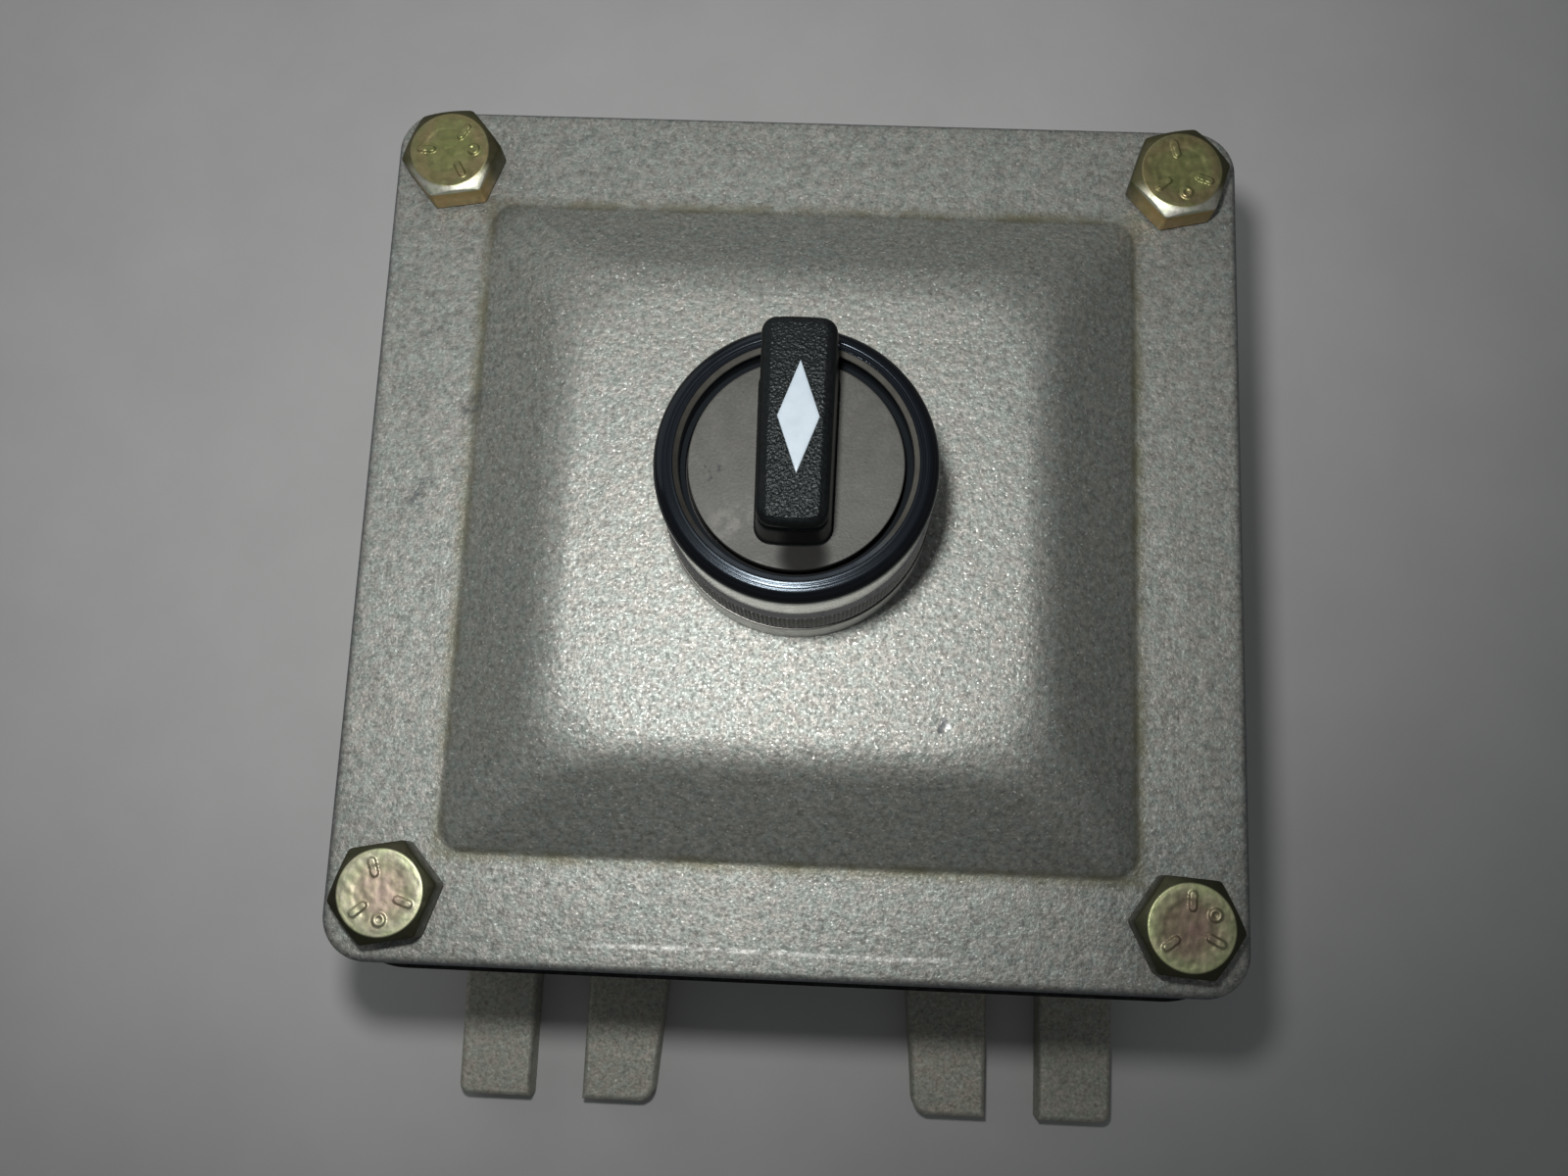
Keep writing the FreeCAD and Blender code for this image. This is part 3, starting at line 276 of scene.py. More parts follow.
    def colour(self, value):
        self.put(self.bsdf.inputs["Base Color"], value)

    def rough(self, value):
        self.put(self.bsdf.inputs["Roughness"], value)

    def metal(self, value):
        self.put(self.bsdf.inputs["Metallic"], value)


# ---------------------------------------------------------------- materials
def cast_metal(name, dark, light, sparkle, grain=1.0, rough=(0.49, 0.61), wear=None, grime=0.0, metallic=0.70):
    """Sand-cast aluminium under a thin metallic coat: half-millimetre grain, glints, slow mottling."""
    m = Mat(name, metallic=metallic)
    fine = m.noise(1900 * grain, 2.0, 0.6)
    mid = m.noise(1050 * grain, 2.0, 0.55)
    coarse = m.noise(560 * grain, 2.0, 0.5)
    broad = m.noise(55, 3.0, 0.55)
    tone = m.math("ADD", m.math("MULTIPLY", fine, 0.45), m.math("MULTIPLY", mid, 0.55))
    base = m.ramp(tone, [(0.34, dark), (0.5, tuple((a + b) / 2 for a, b in zip(dark, light))), (0.66, light)])
    # painted glints: bright flake spots, each about a third of a millimetre, in loose clusters, painted strongest on
    # the plateau where the highlight falls
    flakes = m.remap(m.noise(2500 * grain, 0.0, 0.5), 0.68, 0.80, 0.0, 1.0)
    cluster = m.remap(coarse, 0.42, 0.66, 0.35, 1.0)
    px, py, pz = m.axes()
    flat = m.remap(pz, 0.0708, 0.0796, 0.55, 1.0)
    painted_glint = m.math("MULTIPLY", m.math("MULTIPLY", flakes, cluster), flat)
    base = m.mix(painted_glint, base, sparkle)
    pits = m.remap(m.noise(2700 * grain, 0.0, 0.5, 0.4), 0.30, 0.20, 0.0, 0.5)
    base = m.mix(pits, base, tuple(v * 0.45 for v in dark))
    hue = m.ramp(m.noise(640 * grain, 2.0, 0.5, 0.2), [(0.40, (0.93, 0.975, 0.945)), (0.60, (1.0, 0.955, 0.925))])
    base = m.mix(1.0, base, hue, "MULTIPLY")
    tint = m.ramp(broad, [(0.35, (0.96, 0.975, 0.97)), (0.65, (1.0, 0.995, 0.975))])
    base = m.mix(1.0, base, tint, "MULTIPLY")
    if grime:
        patch = m.remap(m.noise(28, 5.0, 0.62, 0.6), 0.55, 0.75, 0.0, grime, smooth=True)
        base = m.mix(patch, base, (0.10, 0.10, 0.09))
    if wear:
        base = wear(m, base)
    m.colour(base)
    m.rough(m.math("SUBTRACT", m.remap(fine, 0.3, 0.7, rough[1], rough[0]), m.math("MULTIPLY", painted_glint, 0.16)))
    m.bump(coarse, 0.34, 0.00024)
    m.bump(mid, 0.48, 0.00018)
    m.bump(fine, 0.54, 0.00011)
    return m.mat


def cover_marks(m, base):
    px, py, pz = m.axes()
    ax, ay = m.math("ABSOLUTE", px), m.math("ABSOLUTE", py)
    # painted shade: the outer edge is darker and a little blue, painted as the dark reflection along the rounded edge
    reach = m.math("MAXIMUM", ax, ay)
    edge = m.remap(reach, 0.0689, 0.0698, 0.0, 0.75, smooth=True)
    base = m.mix(edge, base, (0.105, 0.116, 0.132))
    # olive dirt line at the foot of the dome
    wander = m.remap(m.noise(160, 4.0, 0.6), 0.35, 0.65, 0.3, 1.0)
    root = m.math("MULTIPLY", m.remap(reach, 0.0516, 0.0528, 0.0, 1.0, smooth=True),
                  m.remap(reach, 0.0531, 0.0553, 1.0, 0.0, smooth=True))
    base = m.mix(m.math("MULTIPLY", m.math("MULTIPLY", root, wander), 0.75), base, (0.150, 0.142, 0.082))
    # painted shade: the slopes are mixed a little towards a darker green-grey than the flats
    slope = m.math("MULTIPLY", m.remap(reach, 0.036, 0.042, 0.0, 1.0, smooth=True),
                   m.remap(reach, 0.0515, 0.0532, 1.0, 0.0, smooth=True))
    base = m.mix(m.math("MULTIPLY", slope, 0.16), base, (0.13, 0.15, 0.12))
    # scuffs on the left flange and at the foot of the left slope
    ragged = m.remap(m.noise(900, 4.0, 0.7), 0.40, 0.60, 0.0, 1.0)
    for x, y, r, soft, depth in ((-62.0, 1.9, 0.9, 1.8, 0.70), (-59.7, 5.2, 0.5, 1.5, 0.60),
                                 (-60.9, 3.5, 0.3, 1.0, 0.45), (-53.8, 16.9, 0.6, 1.8, 0.60),
                                 (-52.7, 18.9, 0.7, 2.0, 0.55), (-50.6, 23.5, 0.4, 1.5, 0.35)):
        patch = m.math("MULTIPLY", m.spot(x, y, r, soft), ragged)
        base = m.mix(m.math("MULTIPLY", patch, depth), base, (0.06, 0.066, 0.075))
    # small dark chip low on the right, at the plateau's edge
    for x, y in ((22.1, -32.7), (22.4, -31.9), (22.7, -31.1)):
        base = m.mix(m.math("MULTIPLY", m.spot(x, y, 0.22, 0.6), 0.75), base, (0.075, 0.085, 0.095))
    base = m.mix(m.math("MULTIPLY", m.spot(23.3, -32.0, 0.1, 0.5), 0.7), base, (0.90, 0.93, 0.95))
    # pale casting line along the lower flange
    along = m.math("ADD", py, m.math("MULTIPLY", m.math("SUBTRACT", m.noise(45, 2.0), 0.5), 0.0008))
    band = m.math("MULTIPLY", m.remap(along, -0.0664, -0.0660, 0.0, 1.0, smooth=True),
                  m.remap(along, -0.0658, -0.0654, 1.0, 0.0, smooth=True))
    band = m.math("MULTIPLY", band, m.math("MULTIPLY", m.remap(px, -0.031, -0.027, 0.0, 1.0, smooth=True),
                                           m.remap(px, 0.020, 0.031, 1.0, 0.0, smooth=True)))
    base = m.mix(m.math("MULTIPLY", band, m.remap(m.noise(520, 3.0, 0.7), 0.40, 0.62, 0.05, 0.85)), base, (0.80, 0.80, 0.77))
    return base


def zinc_material():
    """Yellow chromate over zinc: beige and pink in the middle, straw-green at the rim; painted shade on the sides and
    far chamfer, a painted highlight on the near chamfer.
    """
    m = Mat("zinc_chromate", metallic=0.92, rough=0.45)
    px, py, pz = m.axes()
    ax = m.math("SUBTRACT", m.math("ABSOLUTE", px), 0.0594)
    ay = m.math("SUBTRACT", m.math("ABSOLUTE", py), 0.0594)
    d = m.math("SQRT", m.math("ADD", m.math("MULTIPLY", ax, ax), m.math("MULTIPLY", ay, ay)))
    drift = m.math("ADD", m.math("DIVIDE", d, 0.0095), m.math("MULTIPLY", m.math("SUBTRACT", m.noise(190, 2.0, 0.5, 0.8), 0.5), 0.5))
    face = m.ramp(drift, [(0.05, (0.66, 0.53, 0.45)), (0.24, (0.60, 0.50, 0.40)), (0.42, (0.55, 0.52, 0.38)),
                          (0.56, (0.60, 0.60, 0.45)), (0.66, (0.72, 0.74, 0.50)), (0.90, (0.72, 0.74, 0.50))])
    right = m.remap(px, 0.0, 0.01, 0.0, 0.75)
    brown = m.ramp(drift, [(0.10, (0.26, 0.18, 0.145)), (0.40, (0.29, 0.24, 0.165)), (0.60, (0.42, 0.43, 0.25)),
                           (0.66, (0.50, 0.52, 0.30)), (0.90, (0.50, 0.52, 0.30))])
    face = m.mix(right, face, brown)
    # painted shade: on the lower bolts the chamfer and sides outside the face are darkened
    outside = m.remap(d, 0.00628, 0.00655, 0.0, 1.0, smooth=True)
    face = m.mix(outside, face, (0.075, 0.075, 0.048))
    upper = m.remap(py, 0.0, 0.01, 0.0, 1.0)
    olive = m.ramp(drift, [(0.10, (0.33, 0.34, 0.15)), (0.40, (0.31, 0.315, 0.150)), (0.58, (0.33, 0.280, 0.150)),
                           (0.665, (0.31, 0.295, 0.16)), (0.80, (0.26, 0.235, 0.13))])
    near = m.remap(m.math("SUBTRACT", m.math("ABSOLUTE", py), 0.0594), -0.0058, -0.0016, 1.0, 0.0, smooth=True)
    # painted shade: the upper bolts' chamfer is darkened on its far side, away from the lamp
    far = m.math("MULTIPLY", outside, m.remap(near, 0.0, 1.0, 0.85, 0.0))
    olive = m.mix(far, olive, (0.085, 0.083, 0.046))
    # painted highlight: a pale band on the near side of the upper bolts' chamfer
    chamfer = m.math("MULTIPLY", outside, m.remap(pz, 0.0748, 0.0752, 0.0, 1.0))
    olive = m.mix(m.math("MULTIPLY", chamfer, near), olive, (0.62, 0.63, 0.56))
    # painted light: the near side faces of the upper bolts are painted a lit chromate gold
    low = m.math("MULTIPLY", m.remap(pz, 0.0748, 0.0752, 1.0, 0.0), near)
    olive = m.mix(low, olive, (0.50, 0.36, 0.17))
    base = m.mix(upper, face, olive)
    mottle = m.ramp(m.noise(520, 3.0, 0.6), [(0.40, (0.86, 0.90, 0.80)), (0.60, (1.0, 0.96, 0.95))])
    base = m.mix(1.0, base, mottle, "MULTIPLY")
    stain = m.remap(m.noise(800, 4.0, 0.65), 0.56, 0.72, 0.0, 0.35)
    base = m.mix(stain, base, (0.12, 0.11, 0.07))
    # painted shade: side faces are darker than the head's face, most of all on the lower bolts
    flank = m.math("MULTIPLY", m.remap(pz, 0.0740, 0.0752, 1.0, 0.0, smooth=True), m.remap(py, 0.0, 0.01, 0.9, 0.15))
    base = m.mix(flank, base, (0.050, 0.046, 0.032))
    m.colour(base)
    m.rough(m.remap(m.noise(900, 3.0), 0.35, 0.7, 0.40, 0.54))
    m.bump(m.noise(420, 3.0, 0.6), 0.35, 0.00016)
    return m.mat


def nickel_material(name, tone=1.0, rough=0.24, shaded_from=None):
    m = Mat(name, metallic=1.0, rough=rough)
    px, py, pz = m.axes()
    radius = m.math("SQRT", m.math("ADD", m.math("MULTIPLY", px, px), m.math("MULTIPLY", py, py)))
    scale = m.new("ShaderNodeCombineXYZ")
    m.put(scale.inputs[0], m.math("MULTIPLY", px, 40.0))
    m.put(scale.inputs[1], m.math("MULTIPLY", py, 40.0))
    m.put(scale.inputs[2], m.math("MULTIPLY", pz, 5200.0))
    lines = m.noise(1.0, 2.0, 0.5, coord=scale.outputs[0])
    spots = m.remap(m.noise(420, 4.0, 0.7), 0.56, 0.70, 0.0, 0.55)
    base = m.ramp(lines, [(0.3, (0.78 * tone, 0.77 * tone, 0.75 * tone)), (0.7, (0.97 * tone, 0.96 * tone, 0.94 * tone))])
    base = m.mix(spots, base, (0.30, 0.27, 0.23))
    knurl = m.math("MULTIPLY", m.remap(pz, 0.0866, 0.0870, 0.0, 1.0), m.remap(pz, 0.0940, 0.0944, 1.0, 0.0))
    valley = m.remap(radius, 0.01905, 0.01945, 0.85, 0.22)
    base = m.mix(m.math("MULTIPLY", knurl, valley), base, (0.120, 0.112, 0.100))
    # painted shade: the groove under the smooth band is darkened nearly black
    groove = m.math("MULTIPLY", m.remap(radius, 0.0186, 0.0189, 1.0, 0.0), m.remap(pz, 0.0942, 0.0944, 0.0, 1.0))
    groove = m.math("MULTIPLY", groove, m.remap(pz, 0.0954, 0.0957, 1.0, 0.0))
    base = m.mix(m.math("MULTIPLY", groove, 0.85), base, (0.03, 0.028, 0.026))
    # painted shade: the nut's inner top under the bezel ring is darkened nearly black
    hidden = m.math("MULTIPLY", m.remap(radius, 0.01690, 0.01680, 0.0, 0.97), m.remap(pz, 0.1009, 0.1013, 0.0, 1.0))
    base = m.mix(hidden, base, (0.006, 0.006, 0.006))
    # painted shade: from this height up the collar's top edge, just under the nut's knurl, is darkened
    if shaded_from:
        base = m.mix(m.remap(pz, shaded_from, shaded_from + 0.0004, 0.0, 0.9), base, (0.06, 0.055, 0.048))
    m.colour(base)
    m.rough(m.remap(lines, 0.3, 0.7, rough + 0.10, rough - 0.06))
    m.bump(lines, 0.12, 0.00005)
    return m.mat


def die_cast_material():
    """Zinc die casting; the rim that shows in the gap round the disc is painted black as shade."""
    m = Mat("die_cast_zinc", metallic=0.85)
    tone = m.noise(260, 3.0, 0.55)
    base = m.ramp(tone, [(0.35, (0.34, 0.34, 0.33)), (0.65, (0.50, 0.50, 0.49))])
    px, py, pz = m.axes()
    # painted shade: the rim seen in the gap round the disc is darkened nearly black
    rim = m.remap(pz, 0.1000, 0.1008, 0.0, 1.0, smooth=True)
    base = m.mix(m.math("MULTIPLY", rim, 0.97), base, (0.006, 0.006, 0.006))
    m.colour(base)
    m.rough(m.math("ADD", m.remap(tone, 0.3, 0.7, 0.38, 0.55), m.math("MULTIPLY", rim, 0.35), clamp=True))
    m.bump(tone, 0.1, 0.00005)
    return m.mat


def black_ring_material():
    """Glossy black ring with fine turning lines, dust and painted light on the cone inside."""
    m = Mat("black_ring", base=(0.004, 0.004, 0.005), rough=0.2, Specular_Tint=(0.72, 0.86, 1.0, 1.0), Specular_IOR_Level=0.40)
    px, py, pz = m.axes()
    radius = m.math("SQRT", m.math("ADD", m.math("MULTIPLY", px, px), m.math("MULTIPLY", py, py)))
    stretch = m.new("ShaderNodeCombineXYZ")
    m.put(stretch.inputs[0], m.math("MULTIPLY", radius, 4200.0))
    m.put(stretch.inputs[1], m.math("MULTIPLY", pz, 900.0))
    turning = m.noise(1.0, 1.5, 0.5, coord=stretch.outputs[0])
    face = m.math("MULTIPLY", m.remap(radius, 0.01650, 0.01665, 0.0, 1.0), m.remap(radius, 0.0178, 0.0183, 1.0, 0.0))
    base = m.ramp(turning, [(0.3, (0.0018, 0.002, 0.0024)), (0.7, (0.0035, 0.004, 0.005))])
    base = m.mix(m.math("MULTIPLY", face, 0.6), base, (0.0045, 0.006, 0.009))
    haze = m.remap(m.noise(300, 5.0, 0.7), 0.52, 0.80, 0.0, 0.02)
    base = m.mix(haze, base, (0.10, 0.10, 0.10))
    # dust lies on the small chamfer inside; it is painted thickest to the upper right, as painted light where that
    # side faces the lamp, and turns blue-grey low down as a painted highlight; the wall below it stays black
    cone = m.math("MULTIPLY", m.remap(radius, 0.01655, 0.01646, 0.0, 1.0, smooth=True),
                  m.remap(pz, 0.1056, 0.1059, 0.0, 1.0, smooth=True))
    side = m.remap(m.math("ADD", m.math("MULTIPLY", px, 0.6), m.math("MULTIPLY", py, 0.8)), -0.012, 0.010, 0.42, 1.0, smooth=True)
    low = m.remap(py, -0.0138, -0.0080, 1.0, 0.0, smooth=True)
    floor_of_gap = m.remap(pz, 0.1040, 0.1046, 1.0, 0.0, smooth=True)
    inside = m.remap(radius, 0.01590, 0.01586, 0.0, 1.0)
    well = m.math("MULTIPLY", floor_of_gap, inside)
    dust = m.math("MULTIPLY", m.math("MULTIPLY", cone, side), m.remap(m.noise(420, 5.0, 0.7), 0.25, 0.7, 0.60, 1.0))
    base = m.mix(dust, base, m.mix(low, (0.088, 0.082, 0.068), (0.105, 0.125, 0.150)))
    m.colour(base)
    gloss = m.math("ADD", m.remap(turning, 0.3, 0.7, 0.10, 0.17), m.math("MULTIPLY", face, 0.07))
    gloss = m.math("ADD", gloss, m.math("MULTIPLY", m.math("MULTIPLY", cone, side), 0.5))
    m.rough(m.math("ADD", gloss, m.math("MULTIPLY", well, 0.8), clamp=True))
    m.bump(m.math("MULTIPLY", turning, face), 1.0, 0.00011)
    return m.mat


def dial_material():
    """Half-matte brown-grey disc with dust, specks and faint streaks."""
    m = Mat("dial_dusty", rough=0.5, metallic=0.04, Specular_IOR_Level=0.30)
    dust = m.noise(240, 6.0, 0.68)
    fine = m.noise(2400, 2.0, 0.6)
    speck = m.remap(m.voronoi(620, "Distance"), 0.03, 0.16, 1.0, 0.0)
    keep = m.remap(m.noise(150, 2.0), 0.50, 0.60, 0.0, 1.0)
    blot = m.remap(m.noise(95, 3.0, 0.6, 0.5), 0.50, 0.70, 0.0, 0.35)
    tone = m.math("ADD", m.math("MULTIPLY", dust, 0.7), m.math("MULTIPLY", fine, 0.3))
    base = m.ramp(tone, [(0.30, (0.043, 0.043, 0.038)), (0.52, (0.068, 0.067, 0.060)), (0.74, (0.108, 0.107, 0.098))])
    base = m.mix(blot, base, (0.054, 0.052, 0.046))
    base = m.mix(m.math("MULTIPLY", m.math("MULTIPLY", speck, keep), 0.5), base, (0.018, 0.018, 0.020))
    # dark specks left of the lever, a painted sheen patch below them, and painted shade on the edge
    crumbs = m.remap(m.noise(1500, 3.0, 0.7), 0.50, 0.58, 0.0, 1.0)
    for x, y, r, soft in ((-12.0, -1.2, 0.2, 1.1), (-11.2, -2.6, 0.1, 0.9), (-10.4, -1.0, 0.1, 0.7), (-9.2, 5.6, 0.1, 0.8)):
        base = m.mix(m.math("MULTIPLY", m.math("MULTIPLY", m.spot(x, y, r, soft), crumbs), 0.85), base, (0.014, 0.014, 0.018))
    sheen_patch = m.math("MULTIPLY", m.spot(-8.4, -8.6, 0.6, 4.6), m.remap(m.noise(520, 4.0, 0.7), 0.42, 0.62, 0.0, 1.0))
    base = m.mix(m.math("MULTIPLY", sheen_patch, 0.45), base, (0.21, 0.205, 0.185))
    # painted dark reflection of the lever's heel on the disc, and painted shade darkening the disc towards the bottom
    heel_reflection = m.spot(1.5, -12.6, 1.9, 2.4)
    base = m.mix(m.math("MULTIPLY", heel_reflection, 0.97), base, (0.005, 0.005, 0.005))
    py = m.axes()[1]
    base = m.mix(m.remap(py, -0.0060, -0.0135, 0.0, 0.45, smooth=True), base, (0.022, 0.021, 0.019))
    px, py, pz = m.axes()
    radius = m.math("SQRT", m.math("ADD", m.math("MULTIPLY", px, px), m.math("MULTIPLY", py, py)))
    # painted shade: the disc's edge and side wall in the gap are darkened
    lip = m.remap(radius, 0.01448, 0.01464, 0.0, 1.0, smooth=True)
    base = m.mix(m.math("MULTIPLY", lip, 0.85), base, (0.010, 0.010, 0.009))
    m.colour(base)
    dull = m.math("ADD", m.math("MULTIPLY", heel_reflection, 0.45), m.math("MULTIPLY", lip, 0.45))
    m.rough(m.math("ADD", m.remap(dust, 0.3, 0.7, 0.42, 0.56), dull, clamp=True))
    m.bump(fine, 0.30, 0.00008)
    return m.mat


def lever_material():
    """Black moulded plastic: leathery grain on the top face, smooth sides."""
    m = Mat("lever_black", rough=0.5, Specular_IOR_Level=0.18, Specular_Tint=(0.90, 1.0, 1.0, 1.0))
    px, py, pz = m.axes()
    beside = m.math("SUBTRACT", m.math("ABSOLUTE", px), m.math("MULTIPLY", py, 0.0122))
    inner = m.math("MULTIPLY", m.remap(beside, 0.00330, 0.00395, 1.0, 0.0, smooth=True),
                   m.remap(py, -0.0103, -0.0097, 0.0, 1.0))
    top = m.math("MULTIPLY", m.remap(pz, 0.1143, 0.1147, 0.0, 1.0), inner)
    grain = m.voronoi(2900, "Distance", "SMOOTH_F1")
    pebble = m.noise(2300, 2.0, 0.55, 0.4)
    fine = m.noise(5200, 2.0, 0.6)
    base = m.ramp(m.noise(2600, 3.0, 0.6), [(0.3, (0.0016, 0.0019, 0.0020)), (0.7, (0.0058, 0.0070, 0.0074))])
    haze = m.remap(m.noise(240, 4.0, 0.7), 0.5, 0.8, 0.0, 0.03)
    base = m.mix(haze, base, (0.10, 0.105, 0.11))
    m.colour(base)
    m.rough(m.remap(top, 0.0, 1.0, 0.34, 0.36))
    relief = m.remap(py, -0.004, 0.014, 1.0, 0.62)
    m.bump(m.math("MULTIPLY", m.math("MULTIPLY", top, relief), m.math("ADD", grain, m.math("MULTIPLY", pebble, 1.2))), 0.85, 0.00014)
    m.bump(fine, 0.08, 0.00004)
    return m.mat


def simple(name, a, b, scale, metallic, rough, bump=0.15, distance=0.0001, stretch=None, detail=4.0):
    """Two-tone mottled finish with a fine bump."""
    m = Mat(name, metallic=metallic)
    coord = m.coord
    if stretch:
        coord = m.vmath("MULTIPLY", m.coord, Vector(stretch))
    v = m.noise(scale, detail, 0.6, coord=coord)
    m.colour(m.ramp(v, [(0.32, a), (0.68, b)]))
    m.rough(m.remap(v, 0.3, 0.7, rough[1], rough[0]))
    m.bump(v, bump, distance)
    return m.mat


MATS = {
    "cast_cover": cast_metal("cast_cover_paint", (0.182, 0.187, 0.179), (0.428, 0.435, 0.420), (0.92, 0.93, 0.92),
                             wear=cover_marks, grime=0.08),
    "cast_box": cast_metal("cast_box_paint", (0.285, 0.282, 0.250), (0.48, 0.475, 0.43), (0.64, 0.64, 0.60),
                           grain=0.9, rough=(0.55, 0.75), grime=0.25, metallic=0.55),
    "zinc_bolt": zinc_material(),
    "nickel": nickel_material("nickel_plate"),
    "collar": nickel_material("collar_metal", 0.80, 0.42, shaded_from=0.0861),
    "black_enamel": black_ring_material(),
    "dial": dial_material(),
    "lever_plastic": lever_material(),
    "white_plastic": simple("inlay_white", (0.34, 0.40, 0.45), (0.395, 0.455, 0.505), 500, 0.0, (0.35, 0.5), 0.05, 0.00003),
    "gasket_rubber": simple("neoprene", (0.012, 0.012, 0.013), (0.035, 0.035, 0.036), 700, 0.0, (0.75, 0.95), 0.4, 0.00012),
    "die_cast": die_cast_material(),
    "bronze": simple("sintered_bronze", (0.36, 0.22, 0.10), (0.55, 0.36, 0.18), 900, 0.9, (0.4, 0.6), 0.3),
    "steel": simple("plated_steel", (0.42, 0.43, 0.44), (0.60, 0.61, 0.63), 320, 0.95, (0.28, 0.42), 0.1),
    "brass": simple("brass_contact", (0.52, 0.36, 0.13), (0.74, 0.56, 0.26), 300, 0.95, (0.26, 0.42), 0.1),
    "phenolic": simple("moulded_phenolic", (0.020, 0.018, 0.017), (0.052, 0.046, 0.042), 1300, 0.0, (0.45, 0.62), 0.2),
    "cam_plastic": simple("acetal", (0.60, 0.57, 0.50), (0.72, 0.70, 0.63), 240, 0.0, (0.38, 0.5), 0.05),
}

slot_of = {s["node"]: s["material_slot"] for s in frame["record"]["subparts"]}


def finish_piece(obj, node, body, slot, material=None):
    obj.data.materials.clear()
    obj.data.materials.append(MATS[material or slot])
    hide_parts(node)
    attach(obj, body)


# CAD nodes that stay get their finish in place.
for name, obj in nodes.items():
    key = "collar" if name == "trim_collar" else slot_of[name]
    for slot in obj.material_slots:
        slot.material = MATS[key]


# ---------------------------------------------------------------- cover
def square_radius(phi, half, corner):
    """Distance to a rounded square's outline in direction phi."""
    c, s_ = abs(math.cos(phi)), abs(math.sin(phi))
    if c < s_:
        c, s_ = s_, c
    flat = half - corner
    rho = half / c
    if rho * s_ <= flat:
        return rho
    # on the corner arc centred at (flat, flat)
    b = flat * (c + s_)
    return b + math.sqrt(max(0.0, b * b - 2 * flat * flat + corner * corner))


def octant_angles(half, corner, along, around):
    limit = math.atan2(half - corner, half)
    first = [math.atan2((half - corner) * i / along, half) for i in range(along)]
    second = [limit + (math.pi / 4 - limit) * i / around for i in range(around)]
    return first + second


def full_angles(octant):
    out = []
    for k in range(4):
        base = k * math.pi / 2
        out += [base + a for a in octant]
        out += [base + math.pi / 2 - a for a in reversed([*octant[1:], math.pi / 4])]
    return out


def cover_profile():
    """(half size, corner radius, height) from the hole, over the top, under and back."""
    hole = 15.25
    top = []
    rise = math.radians(33.0)
    blend, foot, root = 13.0, 53.0, 1.6
    shoulder = foot - 10.0 / math.tan(rise)
    tangent = blend * math.tan(rise / 2)
    flat_end = shoulder - tangent
    for i in range(19):
        t = i / 18
        half = hole + (flat_end - hole) * t
        corner = hole + (13.0 - hole) * t ** 0.5
        top.append((half, min(half, corner), PLATEAU_Z))
    for i in range(1, 13):
        a = rise * i / 12
        half = flat_end + blend * math.sin(a)
        top.append((half, 13.0 - 3.2 * i / 12, PLATEAU_Z - blend * (1 - math.cos(a))))
    slope_from = flat_end + blend * math.sin(rise)
    z_from = PLATEAU_Z - blend * (1 - math.cos(rise))
    root_t = root * math.tan(rise / 2)
    slope_to = foot - root_t * math.cos(rise)
    z_to = FLANGE_Z + root_t * math.sin(rise)
    for i in range(1, 17):
        t = i / 16
        top.append((slope_from + (slope_to - slope_from) * t, 9.8 - 6.0 * t, z_from + (z_to - z_from) * t))
    for i in range(1, 7):
        a = rise * (1 - i / 6)
        half = foot + root_t - root * math.sin(a)
        top.append((half, 3.8 + 0.8 * i / 6, FLANGE_Z + root * (1 - math.cos(a))))
    start = top[-1][0]
    edge = 1.25
    for i in range(1, 17):
        t = i / 16
        top.append((start + (69.85 - edge - start) * t, 4.6 + (7.0 - edge - 4.6) * t, FLANGE_Z))
    for i in range(1, 7):
        a = math.radians(90 - 15 * i)
        top.append((69.85 - edge + edge * math.cos(a), 7.0 - edge + edge * math.cos(a), FLANGE_Z - edge + edge * math.sin(a)))
    for z in (66.8, 64.9, 63.45):
        top.append((69.85, 7.0, z))
    for i in range(1, 4):
        a = math.radians(30 * i)
        top.append((69.85 - 0.45 + 0.45 * math.cos(a), 7.0 - 0.45 + 0.45 * math.cos(a), 63.45 - 0.45 * math.sin(a)))
    under = []
    for half, corner in ((66, 6.5), (60, 6), (54, 5), (49.5, 4)):
        under.append((half, corner, 63.0))
    under.append((49.5, 4.0, 66.5))
    for i in range(1, 7):
        t = i / 6
        under.append((49.5 - 14.0 * t, 4.0 + 2.0 * t, 66.5 + 8.5 * t))
    for i in range(1, 5):
        t = i / 4
        half = 35.5 + (hole - 35.5) * t
        under.append((half, min(half, 6.0 + (hole - 6.0) * t), 75.0))
    under.append((hole, hole, 77.5))
    return top, under


def cast_swell(x, y, z, amount):
    """Slow unevenness of a sand casting."""
    p = Vector((x * 0.16, y * 0.16, z * 0.16))
    q = Vector((x * 0.55, y * 0.55, z * 0.55))
    return amount * (0.65 * noise.noise(p) + 0.35 * noise.noise(q))


def build_cover():
    top, under = cover_profile()
    angles = full_angles(octant_angles(69.85, 7.0, 46, 14))
    rings = []
    for index, (half, corner, z) in enumerate(top + under):
        ring = []
        for phi in angles:
            rho = square_radius(phi, half, corner)
            x, y = rho * math.cos(phi), rho * math.sin(phi)
            zz = z
            if index < len(top) - 8 and 20 < rho:
                zz = z + min(0.0, cast_swell(x, y, z, 0.10) - 0.035)
                # small ding low on the right of the plateau
                d = math.hypot((x - 22.5) / 0.7, (y + 31.9) / 1.2)
                if d < 1.6:
                    zz -= 0.45 * (1 - d / 1.6) ** 2
            ring.append((x, y, zz))
        rings.append(ring)
    verts, faces = skin(rings)
    obj = mesh_object("cover_casting", verts, faces, 40.0)
    tools = [round_prism(sx * 59.4, sy * 59.4, 5.2, 60, 73, 48) for sx in (-1, 1) for sy in (-1, 1)]
    tools.append(prism([(-2.2, 13), (2.2, 13), (2.2, 17.1), (-2.2, 17.1)], 73, 82))
    return carve(obj, tools, sharp=40.0)


cover = build_cover()
finish_piece(cover, "cover", "root", "cast_cover")


